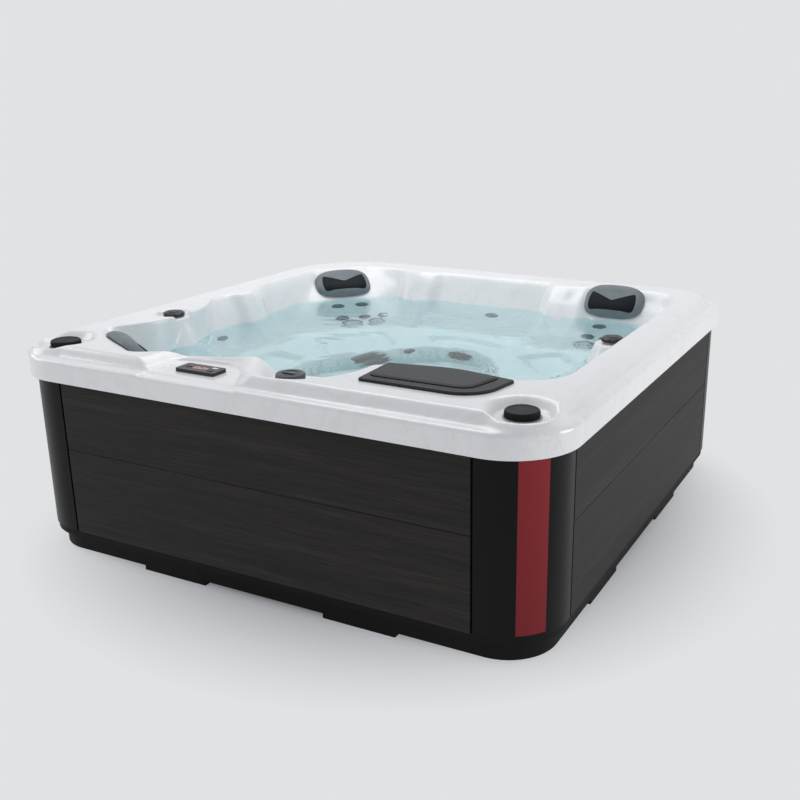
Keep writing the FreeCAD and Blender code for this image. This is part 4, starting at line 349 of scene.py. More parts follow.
def ring_piece(name, rings, body, first_pole=None, last_pole=None, sharp=()):
    """A closed surface of stacked rings (rings, points, 3): a loop of rings, or ended by two single points."""
    count = rings.shape[1]
    points = rings.reshape(-1, 3)
    faces = grid_faces(len(rings), count).tolist()
    step = np.arange(count)
    after = (step + 1) % count
    last = (len(rings) - 1) * count
    if first_pole is None:
        faces += np.stack([last + step, last + after, after, step], axis=1).tolist()
    else:
        points = np.concatenate([points, [first_pole, last_pole]])
        faces += np.stack([after, step, np.full(count, len(points) - 2)], axis=1).tolist()
        faces += np.stack([last + step, last + after, np.full(count, len(points) - 1)], axis=1).tolist()
    piece = mesh_object(name, points, faces, body)
    if sharp:
        mesh = piece.data
        ends = np.empty(len(mesh.edges) * 2, np.int32)
        mesh.edges.foreach_get("vertices", ends)
        ends = ends.reshape(-1, 2) // count
        marks = (ends[:, 0] == ends[:, 1]) & np.isin(ends[:, 0], sharp)
        mesh.attributes.new("sharp_edge", "BOOLEAN", "EDGE").data.foreach_set("value", marks)
    return piece


rim_top = along_rays(rays, lip_reach, split_reach, RIM_ROWS, shell_height)
lip_face = np.repeat(rim_top[:, :1], 3, axis=1)
lip_face[:, :, 2] = np.array([LIP_FOOT, LIP_FOOT + 0.004, LEDGE - LIP_EDGE - 0.003])
rim_under = underside(rim_top, UNDER_STEP)
rim_under[:, -2:, :2] *= 0.992
rim_under[:, -1, 2] = LIP_FOOT
rim_rings = np.concatenate([lip_face, rim_top, rim_under], axis=1).transpose(1, 0, 2)
turn_row = lip_face.shape[1] + RIM_ROWS
rim = ring_piece("shell_rim", rim_rings, "tub",
                 sharp=(0, turn_row - 1, turn_row, len(rim_rings) - 1))
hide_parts("shell")


def cut_away(piece, low, high):
    """Takes the room between two matching outlines out of a piece, as a router does after moulding."""
    cutter = ring_piece("router", np.stack([low, high]), "tub", low.mean(axis=0), high.mean(axis=0))
    cut = piece.modifiers.new("cut", "BOOLEAN")
    cut.operation, cut.solver, cut.object = "DIFFERENCE", "EXACT", cutter
    piece.data = bpy.data.meshes.new_from_object(piece.evaluated_get(bpy.context.evaluated_depsgraph_get()))
    piece.modifiers.clear()
    bpy.data.objects.remove(cutter)


def box_outline(half_a, half_b, radius):
    """A rounded rectangle about the origin, anticlockwise."""
    return rounded_outline(np.array([(half_a, -half_b, radius), (half_a, half_b, radius),
                                     (-half_a, half_b, radius), (-half_a, -half_b, radius)]), 5)


hole = box_outline(FILTER_HOLE[0] + 0.001, FILTER_HOLE[1] + 0.001, FILTER_HOLE[2])
hole = np.stack([FILTER_X + hole[:, 0], FILTER_Y + hole[:, 1], 0 * hole[:, 0]], axis=1)
cut_away(rim, hole + [0, 0, HOLE_LOW], hole + [0, 0, HOLE_HIGH])
mouth = box_outline(MOUTH_HEIGHT / 2, MOUTH_WIDTH / 2, 0.006)
mouth = np.stack([FILTER_X + mouth[:, 1], 0 * mouth[:, 0], MOUTH_TOP - MOUTH_HEIGHT / 2 + mouth[:, 0]], axis=1)
cut_away(rim, mouth + [0, MOUTH_FRONT, 0], mouth + [0, MOUTH_REAR, 0])

basin_top = along_rays(rays, split_reach, np.full(RAYS, MIDDLE), BASIN_ROWS, shell_height)
basin_under = underside(basin_top, UNDER_STEP)
basin_rings = np.concatenate([basin_under, basin_top], axis=1).transpose(1, 0, 2)
basin = ring_piece("shell_basin", basin_rings, "tub", (0, 0, FOOT - SHELL_WALL), (0, 0, FOOT),
                   sharp=(basin_under.shape[1] - 1, basin_under.shape[1]))
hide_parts("shell")


def paint(red, green, blue):
    """A colour given as it shows on a screen, 0 to 255, as the linear value that a shader takes."""
    screen = np.array([red, green, blue]) / 255
    linear = np.where(screen <= 0.04045, screen / 12.92, ((screen + 0.055) / 1.055) ** 2.4)
    return (*linear.tolist(), 1.0)


def add(tree, kind, inputs=(), **settings):
    """A shader node with its settings, and its inputs set to values or joined to other nodes' outputs."""
    made = tree.nodes.new(kind)
    for key, value in settings.items():
        setattr(made, key, value)
    for key, value in dict(inputs).items():
        if isinstance(value, bpy.types.NodeSocket):
            tree.links.new(value, made.inputs[key])
        else:
            made.inputs[key].default_value = value
    return made


def new_material(name, **sockets):
    """A material with a principled shader, and the node tree and shader to build on."""
    material = bpy.data.materials.new(name)
    material.use_nodes = True
    shader = material.node_tree.nodes["Principled BSDF"]
    for key, value in sockets.items():
        shader.inputs[key.replace("_", " ")].default_value = value
    return material, material.node_tree, shader


def place(tree, scale=(1, 1, 1)):
    """The point on the object, stretched by a scale on each axis."""
    where = add(tree, "ShaderNodeTexCoord")
    return add(tree, "ShaderNodeMapping", {"Vector": where.outputs["Object"], "Scale": scale}).outputs[0]


def noise(tree, point, scale, detail=4.0, rough=0.55, swirl=0.0):
    """Noise from 0 to 1 at a point; scale is cells to the metre."""
    return add(tree, "ShaderNodeTexNoise", {"Vector": point, "Scale": scale, "Detail": detail,
                                            "Roughness": rough, "Distortion": swirl}).outputs["Fac"]


def ramp(tree, factor, *stops):
    """A colour that runs through stops of (position, colour) as a factor grows."""
    made = add(tree, "ShaderNodeValToRGB", {"Fac": factor})
    elements = made.color_ramp.elements
    while len(elements) < len(stops):
        elements.new(0.5)
    for element, (position, colour) in zip(elements, stops):
        element.position = position
        element.color = colour
    return made.outputs["Color"]


def span(tree, factor, low, high, start=0.0, end=1.0):
    """A number from low to high as a factor goes from start to end."""
    return add(tree, "ShaderNodeMapRange", {"Value": factor, "From Min": start, "From Max": end, "To Min": low,
                                            "To Max": high}).outputs[0]


def bump(tree, shader, height, depth, strength=1.0):
    """Lets a height from 0 to 1 raise the surface by a depth in metres."""
    made = add(tree, "ShaderNodeBump", {"Height": height, "Distance": depth, "Strength": strength})
    tree.links.new(made.outputs[0], shader.inputs["Normal"])


# Acrylic: nearly white, with faint warm veins and cloudy patches under a thin gloss.
acrylic, tree, shader = new_material("marbled_acrylic", Coat_Weight=0.3, Coat_Roughness=0.12)
point = place(tree)
cloud = noise(tree, point, 3.2, 6.0, 0.62, 1.6)
base = ramp(tree, cloud, (0.32, paint(236, 236, 237)), (0.5, paint(243, 243, 244)),
            (0.68, paint(238, 238, 240)))
vein_place = place(tree, (1.0, 1.35, 1.0))
vein = noise(tree, vein_place, 2.1, 7.0, 0.66, 2.4)
away = add(tree, "ShaderNodeMath", {0: vein, 1: 0.5}, operation="SUBTRACT").outputs[0]
thin = add(tree, "ShaderNodeMath", {0: away}, operation="ABSOLUTE").outputs[0]
vein_mask = span(tree, thin, 0.30, 0.0, 0.0, 0.028)
patches = span(tree, noise(tree, point, 1.4, 2.0), 0.0, 1.0, 0.42, 0.62)
vein_mask = add(tree, "ShaderNodeMath", {0: vein_mask, 1: patches}, operation="MULTIPLY").outputs[0]
colour = add(tree, "ShaderNodeMix", {0: vein_mask, 6: base, 7: paint(221, 217, 214)},
             data_type="RGBA").outputs[2]
tree.links.new(colour, shader.inputs["Base Color"])
tree.links.new(span(tree, noise(tree, point, 18.0, 3.0), 0.14, 0.24), shader.inputs["Roughness"])
bump(tree, shader, noise(tree, point, 9.0, 2.0), 0.0006, 0.5)
for piece in (rim, basin):
    piece.data.materials.append(acrylic)


# Water: the well stands full to 128 mm under the deck, with low ripples from the jets.
# Its sides and foot lie just inside the shell's wall, so that it fills every corner.

WATER_MARGIN = 0.004
water_reach = first_reach(rays, lip_reach, WATER) + WATER_MARGIN

WAVES = ((9, 4, 0.0009, 0.3), (-7, 11, 0.0008, 1.7), (17, -13, 0.0006, 4.1), (-23, -19, 0.0004, 2.6),
         (31, 12, 0.0003, 5.2))
RINGS = ((-0.30, -0.20, 0.0016, 0.085), (0.35, 0.35, 0.0009, 0.070), (-0.1, 0.6, 0.0008, 0.06))
RING_FADE = 0.28


def ripple(x, y):
    """Water level over the plan: long waves crossing each other, and rings that die away from three places."""
    z = WATER + 0 * x
    for kx, ky, height, shift in WAVES:
        z = z + height * np.sin(kx * x + ky * y + shift + 0.6 * np.sin(3 * x - 4 * y))
    for cx, cy, height, length in RINGS:
        away = np.hypot(x - cx, y - cy)
        z = z + height * np.sin(2 * math.pi * away / length) * np.exp(-away / RING_FADE)
    return z


WATER_ROWS, WATER_FOOT_ROWS, CROWDING = 80, 50, 0.8
share = np.linspace(0, 1, WATER_ROWS) ** CROWDING
reach = water_reach[:, None] + (MIDDLE - water_reach[:, None]) * share
wx, wy = reach * np.cos(rays)[:, None], reach * np.sin(rays)[:, None]
water_top = np.stack([wx, wy, ripple(wx, wy)], axis=-1)
foot_reach = water_reach[:, None] * np.linspace(0.005, 1, WATER_FOOT_ROWS) ** CROWDING
fx, fy = foot_reach * np.cos(rays)[:, None], foot_reach * np.sin(rays)[:, None]
fz = np.minimum(shell_height(fx, fy) - WATER_MARGIN, WATER - WATER_MARGIN)
water_foot = np.stack([fx, fy, fz], axis=-1)
water_rings = np.concatenate([water_foot, water_top], axis=1).transpose(1, 0, 2)
water = ring_piece("water", water_rings[:, ::2], "tub", (0, 0, FOOT - WATER_MARGIN), (0, 0, WATER))

# Its look: clear and slightly blue. Shadow and diffuse rays pass it as a pale filter, so the well is lit.
water_look, tree, shader = new_material("spa_water", Transmission_Weight=1.0, IOR=1.333, Roughness=0.02)
point = place(tree)
small = noise(tree, point, 26.0, 3.0, 0.5, 0.6)
pool = noise(tree, point, 2.5, 2.0)
tree.links.new(ramp(tree, pool, (0.3, paint(200, 232, 235)), (0.7, paint(212, 238, 240))),
               shader.inputs["Base Color"])
bump(tree, shader, small, 0.0022, 0.6)
way = add(tree, "ShaderNodeLightPath")
through = add(tree, "ShaderNodeMath", {0: way.outputs["Is Shadow Ray"], 1: way.outputs["Is Diffuse Ray"]},
              operation="MAXIMUM").outputs[0]
clear = add(tree, "ShaderNodeBsdfTransparent", {"Color": paint(226, 246, 247)}).outputs[0]
mixed = add(tree, "ShaderNodeMixShader", {0: through, 1: shader.outputs[0], 2: clear}).outputs[0]
tree.links.new(mixed, tree.nodes["Material Output"].inputs["Surface"])
water.data.materials.append(water_look)


# Base pan: a black tray moulded in ABS, ribbed underneath, that the cabinet stands in.
# It is the part's own solid, with the fine grain of a thermoformed sheet.

def plastic(name, colour, spread=0.12, roughness=0.45, grain=220.0, depth=0.0002, metal=0.0, coat=0.0, dust=0.0,
            shine=0.5):
    """Moulded plastic, rubber or metal: a colour that wanders slightly, with a fine surface grain."""
    material, tree, shader = new_material(name, Metallic=metal, Coat_Weight=coat, Coat_Roughness=0.1,
                                          Specular_IOR_Level=shine)
    point = place(tree)
    dark = tuple(v * (1 - spread) for v in colour[:3]) + (1.0,)
    light = tuple(min(v * (1 + spread) + dust, 1.0) for v in colour[:3]) + (1.0,)
    shade = ramp(tree, noise(tree, point, 6.0, 5.0, 0.6, 0.4), (0.3, dark), (0.7, light))
    tree.links.new(shade, shader.inputs["Base Color"])
    tree.links.new(span(tree, noise(tree, point, 35.0, 3.0), roughness * 0.85, min(roughness * 1.2, 1.0)),
                   shader.inputs["Roughness"])
    bump(tree, shader, noise(tree, point, grain, 2.0), depth, 0.6)
    return material


def dress(material, *nodes):
    """Gives the part's own solids a material."""
    for name in nodes:
        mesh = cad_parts[name].data
        if not mesh.materials:
            mesh.materials.append(material)
        for index in range(len(mesh.materials)):
            mesh.materials[index] = material


dress(plastic("pan_abs", paint(15, 13, 13), roughness=0.6, grain=160.0, depth=0.0004, shine=0.15), "base_pan")


# Corner posts: four curved covers of extruded black plastic, clipped over the cabinet's corners.
# The one nearest the touchpad's end carries a lit red strip behind a smooth lens.

posts = [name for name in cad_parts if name.startswith("corner_post")]
dress(plastic("post_satin", paint(11, 9, 10), roughness=0.34, grain=300.0, depth=0.0001, shine=0.14), *posts)

strip_look, tree, shader = new_material("strip_lens", Roughness=0.45, Specular_IOR_Level=0.25)
point = place(tree)
height = add(tree, "ShaderNodeSeparateXYZ", {"Vector": point}).outputs["Z"]
STRIP_FOOT, STRIP_TOP = 0.122, 0.708
climb = span(tree, height, 0.0, 1.0, STRIP_FOOT, STRIP_TOP)
red = ramp(tree, climb, (0.0, paint(113, 20, 27)), (0.35, paint(120, 24, 31)), (1.0, paint(129, 29, 37)))
tree.links.new(red, shader.inputs["Base Color"])
tree.links.new(red, shader.inputs["Emission Color"])
shader.inputs["Emission Strength"].default_value = 0.10
bump(tree, shader, noise(tree, place(tree, (1, 1, 0.05)), 420.0, 2.0), 0.0001, 0.5)
dress(strip_look, "light_strip")


# Cabinet planks: two wide boards of wood-grained composite on each side, screwed to a frame behind.
# The grain runs along each board, with a pale tooth where the brush cut the skin.

def board(name, along, base):
    """Embossed composite: long dark and pale streaks along one axis, and fine teeth between them."""
    material, tree, shader = new_material(name, Roughness=0.55, Specular_IOR_Level=0.22)
    stretch = (0.55, 14.0, 14.0) if along == "x" else (14.0, 0.55, 14.0)
    fine = (1.6, 70.0, 70.0) if along == "x" else (70.0, 1.6, 70.0)
    streak = noise(tree, place(tree, stretch), 1.6, 7.0, 0.68, 0.5)
    tooth = noise(tree, place(tree, fine), 3.4, 4.0, 0.6)
    dark = tuple(v * 0.62 for v in base[:3]) + (1.0,)
    light = tuple(v * 1.55 for v in base[:3]) + (1.0,)
    shade = ramp(tree, streak, (0.30, dark), (0.50, base), (0.70, light))
    fleck = ramp(tree, tooth, (0.42, (0.55, 0.55, 0.55, 1.0)), (0.60, (1.25, 1.22, 1.2, 1.0)))
    shade = add(tree, "ShaderNodeMix", {0: 0.8, 6: shade, 7: fleck}, data_type="RGBA",
                blend_type="MULTIPLY").outputs[2]
    tree.links.new(shade, shader.inputs["Base Color"])
    tree.links.new(span(tree, tooth, 0.48, 0.72), shader.inputs["Roughness"])
    bump(tree, shader, tooth, 0.0008, 0.7)
    return material


plank_tone = paint(39, 36, 34)
long_planks = [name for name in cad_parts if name.startswith(("plank_front", "plank_rear"))]
side_planks = [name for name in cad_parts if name.startswith(("plank_left", "plank_right"))]
dress(board("plank_grain_x", "x", plank_tone), *long_planks)
dress(board("plank_grain_y", "y", plank_tone), *side_planks)
dress(board("frame_pine", "x", paint(196, 164, 118)), "cabinet_frame")


# Headrests: soft moulded foam in grey skin, pressed on the reclined backs, each with a navy bow-tie insert.
# They swell towards the bather, and their rims stay thin against the acrylic.

PILLOW_WIDE, PILLOW_HIGH, PILLOW_THICK = 0.140, 0.086, 0.046
PILLOWS = (("back_left", 0.60, 0.389), ("back_right", 0.655, 0.401), ("front_left", 0.47, 0.401))


def wall_place(name, along_share, height):
    """A point on a reclined back, with the directions to a bather's right, up the slope and out of it."""
    start, end, lean_water, lean_bench = BACKS[name][:4]
    first, last = (np.array([*p, 0.0]) * TUB_HALF for p in (start, end))
    along = (last - first) / np.linalg.norm(last - first)
    inward = np.array([-along[1], along[0], 0.0])
    stops = ((0.0, BACK_TOP), (lean_water * TUB_HALF, WATER), (lean_bench * TUB_HALF, BENCH))
    upper, lower = (stops[0], stops[1]) if height > WATER else (stops[1], stops[2])
    part = (upper[1] - height) / (upper[1] - lower[1])
    point = first + (last - first) * along_share + inward * (upper[0] + (lower[0] - upper[0]) * part)
    outward = inward * (upper[1] - lower[1]) + np.array([0, 0, lower[0] - upper[0]])
    outward = outward / np.linalg.norm(outward)
    right = -along
    return point + np.array([0, 0, height]), right, np.cross(outward, right), outward


def soft_square(turn, wide, high, power):
    """An oval between a rectangle and an ellipse: |x/wide|^p + |y/high|^p = 1 at an angle."""
    c, s = np.cos(turn), np.sin(turn)
    reach = (np.abs(c) ** power + np.abs(s) ** power) ** (-1 / power)
    return wide * reach * c, high * reach * s


def pillow_face(share):
    """Rise of the headrest's skin from its rim, where share is 1, to its middle: a full, rounded crown."""
    return PILLOW_THICK * (1 - share ** 4.5) ** 0.5


foam, tree, shader = new_material("headrest_skin", Roughness=0.6, Specular_IOR_Level=0.3)
point = place(tree)
tone = noise(tree, point, 14.0, 4.0, 0.6, 0.5)
skin = ramp(tree, tone, (0.3, paint(114, 122, 126)), (0.7, paint(128, 136, 140)))
tree.links.new(skin, shader.inputs["Base Color"])
pore = add(tree, "ShaderNodeTexVoronoi", {"Vector": point, "Scale": 420.0}).outputs["Distance"]
bump(tree, shader, pore, 0.0005, 0.5)
tree.links.new(span(tree, tone, 0.5, 0.68), shader.inputs["Roughness"])

navy, tree, shader = new_material("headrest_insert", Roughness=0.55, Specular_IOR_Level=0.15)
point = place(tree)
tone = noise(tree, point, 20.0, 4.0, 0.6, 0.5)
tree.links.new(ramp(tree, tone, (0.3, paint(6, 13, 19)), (0.7, paint(11, 20, 27))), shader.inputs["Base Color"])
tree.links.new(span(tree, tone, 0.45, 0.62), shader.inputs["Roughness"])
pore = add(tree, "ShaderNodeTexVoronoi", {"Vector": point, "Scale": 500.0}).outputs["Distance"]
bump(tree, shader, pore, 0.0004, 0.5)

# The insert's outline, in shares of the headrest's half width and half height.
BOW = np.array([(0.72, -0.72), (0.36, -0.76), (0.0, -0.76), (-0.36, -0.76), (-0.72, -0.72), (-0.80, -0.22),
                (-0.73, 0.30), (-0.60, 0.16), (-0.34, -0.10), (0.0, -0.18), (0.34, -0.10), (0.60, 0.16),
                (0.73, 0.30), (0.80, -0.22)])


def closed_curve(points, count):
    """A smooth closed curve through points, by a Catmull-Rom spline."""
    size = len(points)
    stops = np.arange(count) / count * size
    index = np.floor(stops).astype(int)
    t = (stops - index)[:, None]
    p0, p1, p2, p3 = (points[(index + k) % size] for k in (-1, 0, 1, 2))
    square = (2 * p0 - 5 * p1 + 4 * p2 - p3) * t ** 2
    cube = (3 * p1 - p0 - 3 * p2 + p3) * t ** 3
    return 0.5 * (2 * p1 + (p2 - p0) * t + square + cube)


def on_back(spot, x, y, z):
    """Points given along a spot's own right, up and outward directions."""
    point, right, up, outward = spot
    return point + x[..., None] * right + y[..., None] * up + z[..., None] * outward


LIFT, RIM_RISE = 0.0006, 0.006
CREST_WIDE, CREST_HIGH, CREST_UP, CREST_RISE = 0.062, 0.022, 0.050, 0.005
BOW_DROP = 0.2 * PILLOW_HIGH
turn = np.arange(160) / 160 * 2 * math.pi
shares = np.concatenate([[0.94, 1.0], np.cos(np.linspace(0, math.pi / 2, 34))[1:-1]])[:, None]
for name, along_share, rise in PILLOWS:
    spot = wall_place(name, along_share, BENCH + rise * TUB_HALF)
    x, y = soft_square(turn, PILLOW_WIDE, PILLOW_HIGH, 3.0)
    side_x, side_y = x * shares, y * shares
    z = pillow_face(np.clip(shares, 0, 1)) + 0.001
    z = np.repeat(z, len(turn), axis=1)
    z[0] = LIFT
    z[1] = RIM_RISE
    crest = np.exp(-(side_x / CREST_WIDE) ** 2 - ((side_y - CREST_UP) / CREST_HIGH) ** 2)
    z[2:] = z[2:] + CREST_RISE * crest[2:]
    centre, right, up, outward = spot
    cushion = ring_piece("headrest_" + name, on_back(spot, side_x, side_y, z), "tub",
                         centre + outward * LIFT, centre + outward * z[-1, 0])
    cushion.data.materials.append(foam)
    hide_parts("pillow_" + name)
    bow = closed_curve(BOW * [PILLOW_WIDE, PILLOW_HIGH], len(turn))
    inner = np.concatenate([[1.0, 1.0, 0.985, 0.95], np.linspace(0.9, 0.04, 16)])[:, None]
    bx, by = bow[:, 0] * inner, -BOW_DROP + (bow[:, 1] + BOW_DROP) * inner
    over = (np.abs(bx / PILLOW_WIDE) ** 3 + np.abs(by / PILLOW_HIGH) ** 3) ** (1 / 3)
    bz = pillow_face(np.clip(over, 0, 0.97)) + 0.0015
    bz[0] -= 0.010
    bz[1] -= 0.002
    bz[2] += 0.0005
    middle = centre - up * BOW_DROP
    tie = ring_piece("headrest_insert_" + name, on_back(spot, bx, by, bz), "tub",
                     middle + outward * (PILLOW_THICK - 0.012), middle + outward * bz[-1].mean())
    tie.data.materials.append(navy)
    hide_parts("pillow_insert_" + name)


# Filter cover: a dark grey moulded plate let into the deck, and a lid that lifts off over the cartridge.
# All are the part's own solids, with the fine spark texture of a mould; the lid's steep side is painted near
# black, as painted shade in the gap around it.

dress(plastic("filter_plate", paint(41, 41, 43), roughness=0.5, grain=340.0, depth=0.0003, shine=0.25),
      "filter_surround")
cover, tree, shader = new_material("filter_lid", Specular_IOR_Level=0.25)
tone = noise(tree, place(tree), 5.0, 4.0)
top = ramp(tree, tone, (0.3, paint(29, 29, 31)), (0.7, paint(35, 35, 37)))
# Painted shade: faces that turn away from straight up take a near-black colour, standing for the shadow in the
# gap around the lid.
normal = add(tree, "ShaderNodeNewGeometry").outputs["Normal"]
upward = add(tree, "ShaderNodeSeparateXYZ", {"Vector": normal}).outputs["Z"]
painted_side_shade = span(tree, upward, 0.0, 1.0, 0.35, 0.75)
shade = add(tree, "ShaderNodeMix", {0: painted_side_shade, 6: paint(14, 14, 15), 7: top}, data_type="RGBA").outputs[2]
tree.links.new(shade, shader.inputs["Base Color"])
tree.links.new(span(tree, tone, 0.42, 0.52), shader.inputs["Roughness"])
bump(tree, shader, noise(tree, place(tree), 340.0, 2.0), 0.0003, 0.6)
dress(cover, "filter_lid")
dress(plastic("filter_body", paint(214, 216, 218), roughness=0.4), "filter_housing")
dress(plastic("filter_pleats", paint(226, 230, 234), roughness=0.8, grain=500.0, depth=0.0005),
      "filter_cartridge")


# Touchpad: a glossy black panel with a lit red display and three rubber keys, on its own lowered platform.
# The display's marks are a blur of light and dark red, and one key is white.

dress(plastic("touchpad_gloss", paint(48, 43, 44), roughness=0.3, grain=400.0, depth=0.00005, shine=0.3),
      "touchpad_housing")
display, tree, shader = new_material("display_glow", Roughness=0.25)
point = place(tree, (60.0, 60.0, 1.0))
digits = ramp(tree, noise(tree, point, 1.4, 1.0), (0.42, paint(96, 62, 66)), (0.6, paint(176, 122, 128)))
tree.links.new(digits, shader.inputs["Base Color"])
tree.links.new(digits, shader.inputs["Emission Color"])
shader.inputs["Emission Strength"].default_value = 0.2
dress(display, "touchpad_display")
dress(plastic("key_rubber", paint(58, 52, 53), roughness=0.5, grain=500.0, shine=0.3), "button_jets",
      "button_temperature")
dress(plastic("key_light", paint(226, 226, 228), roughness=0.4, grain=500.0), "button_light")


# Knobs: three slate turn knobs of moulded plastic, a ringed diverter in its notch and two lobed air valves.
# Each is pressed on the stem of a valve body that hangs under the shell.

knob_slate = plastic("knob_slate", paint(46, 48, 54), roughness=0.42, grain=380.0, depth=0.0002, shine=0.35)
dial_slate = plastic("dial_slate", paint(68, 72, 79), roughness=0.36, grain=380.0, depth=0.0002, shine=0.45)
dress(knob_slate, "air_knob_left", "air_knob_right")


def turned_piece(name, centre, profile, body, lobes, depth, low, high, count=144):
    """A turned solid through (radius, height) pairs; lobes are pressed into its side between two heights."""
    angle = np.arange(count) / count * 2 * math.pi
    rows = np.array(profile)
    band = ease((rows[:, 1] - low) / 0.002) * ease((high - rows[:, 1]) / 0.002)
    wave = 0.5 + 0.5 * np.cos(lobes * angle)
    side = rows[:, :1] > 0.6 * rows[:, 0].max()
    radius = rows[:, :1] - depth * band[:, None] * wave * side
    grid = np.stack([centre[0] + radius * np.cos(angle), centre[1] + radius * np.sin(angle),
                     centre[2] + np.repeat(rows[:, 1:], count, axis=1)], axis=-1)
    return ring_piece(name, grid, body, (centre[0], centre[1], grid[0, 0, 2]),
                      (centre[0], centre[1], grid[-1, 0, 2]))


DIAL_FOOT = DIVERTER[2] + 0.0095
diverter = turned_piece("diverter_dial", (DIVERTER[0], DIVERTER[1], DIAL_FOOT), [
    (0.010, 0.000), (0.0500, 0.000), (0.0515, 0.0012), (0.0520, 0.004), (0.0520, 0.0125), (0.0512, 0.0165),
    (0.0495, 0.0195), (0.0470, 0.0210), (0.0440, 0.0214), (0.0418, 0.0208), (0.0408, 0.0192), (0.0398, 0.0192),
    (0.0388, 0.0208), (0.0370, 0.0222), (0.0345, 0.0226), (0.0322, 0.0220), (0.0310, 0.0200), (0.0300, 0.0182),
    (0.0270, 0.0174), (0.0180, 0.0172), (0.0060, 0.0174)], "diverter", lobes=6, depth=0.0022,
    low=0.001, high=0.018)
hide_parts("diverter_knob")
bar_turn = np.arange(48) / 48 * 2 * math.pi
bar_x, bar_y = soft_square(bar_turn, 0.0295, 0.0075, 2.4)
bar_size = np.array([0.94, 1.0, 1.0, 0.97, 0.90, 0.6, 0.2])[:, None]
bar_rise = DIAL_FOOT + np.array([0.0170, 0.0174, 0.0210, 0.0222, 0.0227, 0.0229, 0.0229])[:, None]
bar_rings = np.stack([DIVERTER[0] + bar_x * bar_size, DIVERTER[1] + bar_y * bar_size,
                      np.repeat(bar_rise, len(bar_turn), axis=1)], axis=-1)
bar = ring_piece("diverter_grip", bar_rings, "diverter",
                 (DIVERTER[0], DIVERTER[1], bar_rise[0, 0]), (DIVERTER[0], DIVERTER[1], bar_rise[-1, 0]))
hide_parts("diverter_knob")
for piece in (diverter, bar):
    piece.data.materials.append(dial_slate)
dress(plastic("valve_moulding", paint(216, 214, 206), roughness=0.4), "valve_bodies")


# Speakers: two black weatherproof caps that rise from sealed cups in the front corners.
# Each cap is a moulded drum with a knurled side and a shallow ring on top, on a skirt that slides in the cup.

CAP_SEAT = 0.7993
speaker_black = plastic("speaker_cap", paint(19, 19, 21), roughness=0.5, grain=420.0, depth=0.0002, shine=0.14)
for side, (cx, cy) in zip(("left", "right"), DISH_PLACES):
    cap = turned_piece("speaker_cap_" + side, (cx, cy, CAP_SEAT), [
        (0.012, -0.096), (0.0420, -0.096), (0.0437, -0.0950), (0.0440, -0.0930), (0.0440, -0.0014),
        (0.0446, 0.0000), (0.0530, 0.0000), (0.0546, 0.0006), (0.0550, 0.0020), (0.0550, 0.0060),
        (0.0550, 0.0145), (0.0546, 0.0170), (0.0534, 0.0194), (0.0514, 0.0211), (0.0488, 0.0221),
        (0.0462, 0.0223), (0.0446, 0.0216), (0.0434, 0.0207), (0.0400, 0.0205), (0.0250, 0.0209),
        (0.0080, 0.0211)], side + "_speaker", lobes=60, depth=0.0014, low=0.0016,
        high=0.0192, count=240)
    cap.data.materials.append(speaker_black)
    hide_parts("speaker_" + side)
dress(plastic("speaker_cup", paint(150, 153, 156), roughness=0.45), "speaker_cups")


# Jets and lights: grey moulded jet faces in the seat backs, with pale rotors in the larger ones.
# Suction covers sit on the footwell's riser, and small clear lamp lenses at the water line.

fixed = [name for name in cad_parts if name.startswith("jets_")]
dress(plastic("jet_face", paint(98, 108, 113), roughness=0.28, grain=500.0, depth=0.0001, coat=0.3), *fixed)
dress(plastic("jet_ring", paint(108, 116, 122), roughness=0.28, coat=0.3), "rotary_housings")
rotors = [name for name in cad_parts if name.startswith("rotary_jet")]
dress(plastic("jet_rotor", paint(190, 196, 200), roughness=0.3, coat=0.2), *rotors)
dress(plastic("suction_cover", paint(70, 78, 84), roughness=0.4, grain=400.0), "suction_covers",
      "riser_return_fitting")
dress(plastic("flap_grey", paint(92, 92, 95), roughness=0.45), "weir_flap")
lens, tree, shader = new_material("lamp_lens", Roughness=0.12)
point = place(tree)
lit = ramp(tree, noise(tree, point, 160.0, 2.0), (0.35, paint(236, 150, 170)), (0.65, paint(250, 205, 214)))
tree.links.new(lit, shader.inputs["Base Color"])
tree.links.new(lit, shader.inputs["Emission Color"])
shader.inputs["Emission Strength"].default_value = 0.8
dress(lens, "waterline_lights")


# Pumps, heater and pipes: bought-in equipment on the base pan, out of sight behind the planks.
# Painted motor, black pump housings, a stainless heater tube, a brass spigot and white PVC pipe.

dress(plastic("motor_paint", paint(62, 70, 84), roughness=0.45, metal=0.4, grain=160.0), "jet_pump_motor")
dress(plastic("pump_black", paint(44, 44, 46), roughness=0.5), "jet_pump_volute", "jet_pump_impeller",
      "circulation_pump")


def brushed(name, colour, roughness, stretch):
    """Brushed metal: fine scratches drawn out along one axis, in its roughness and its relief."""
    material, tree, shader = new_material(name, Metallic=1.0)
    line = noise(tree, place(tree, stretch), 3.0, 5.0, 0.65)
    tree.links.new(ramp(tree, line, (0.3, tuple(v * 0.85 for v in colour[:3]) + (1.0,)), (0.7, colour)),
                   shader.inputs["Base Color"])
    tree.links.new(span(tree, line, roughness * 0.8, roughness * 1.3), shader.inputs["Roughness"])
    bump(tree, shader, line, 0.0001, 0.4)
    return material


dress(brushed("heater_steel", paint(200, 200, 203), 0.28, (12, 160, 160)), "heater")
dress(brushed("spigot_brass", paint(206, 186, 138), 0.3, (160, 12, 160)), "drain_spigot")
dress(plastic("control_paint", paint(142, 145, 147), roughness=0.45, grain=200.0, metal=0.2), "control_box")
dress(plastic("pvc_pipe", paint(232, 232, 228), roughness=0.32, grain=120.0, depth=0.0001), "plumbing",
      "jet_manifolds")
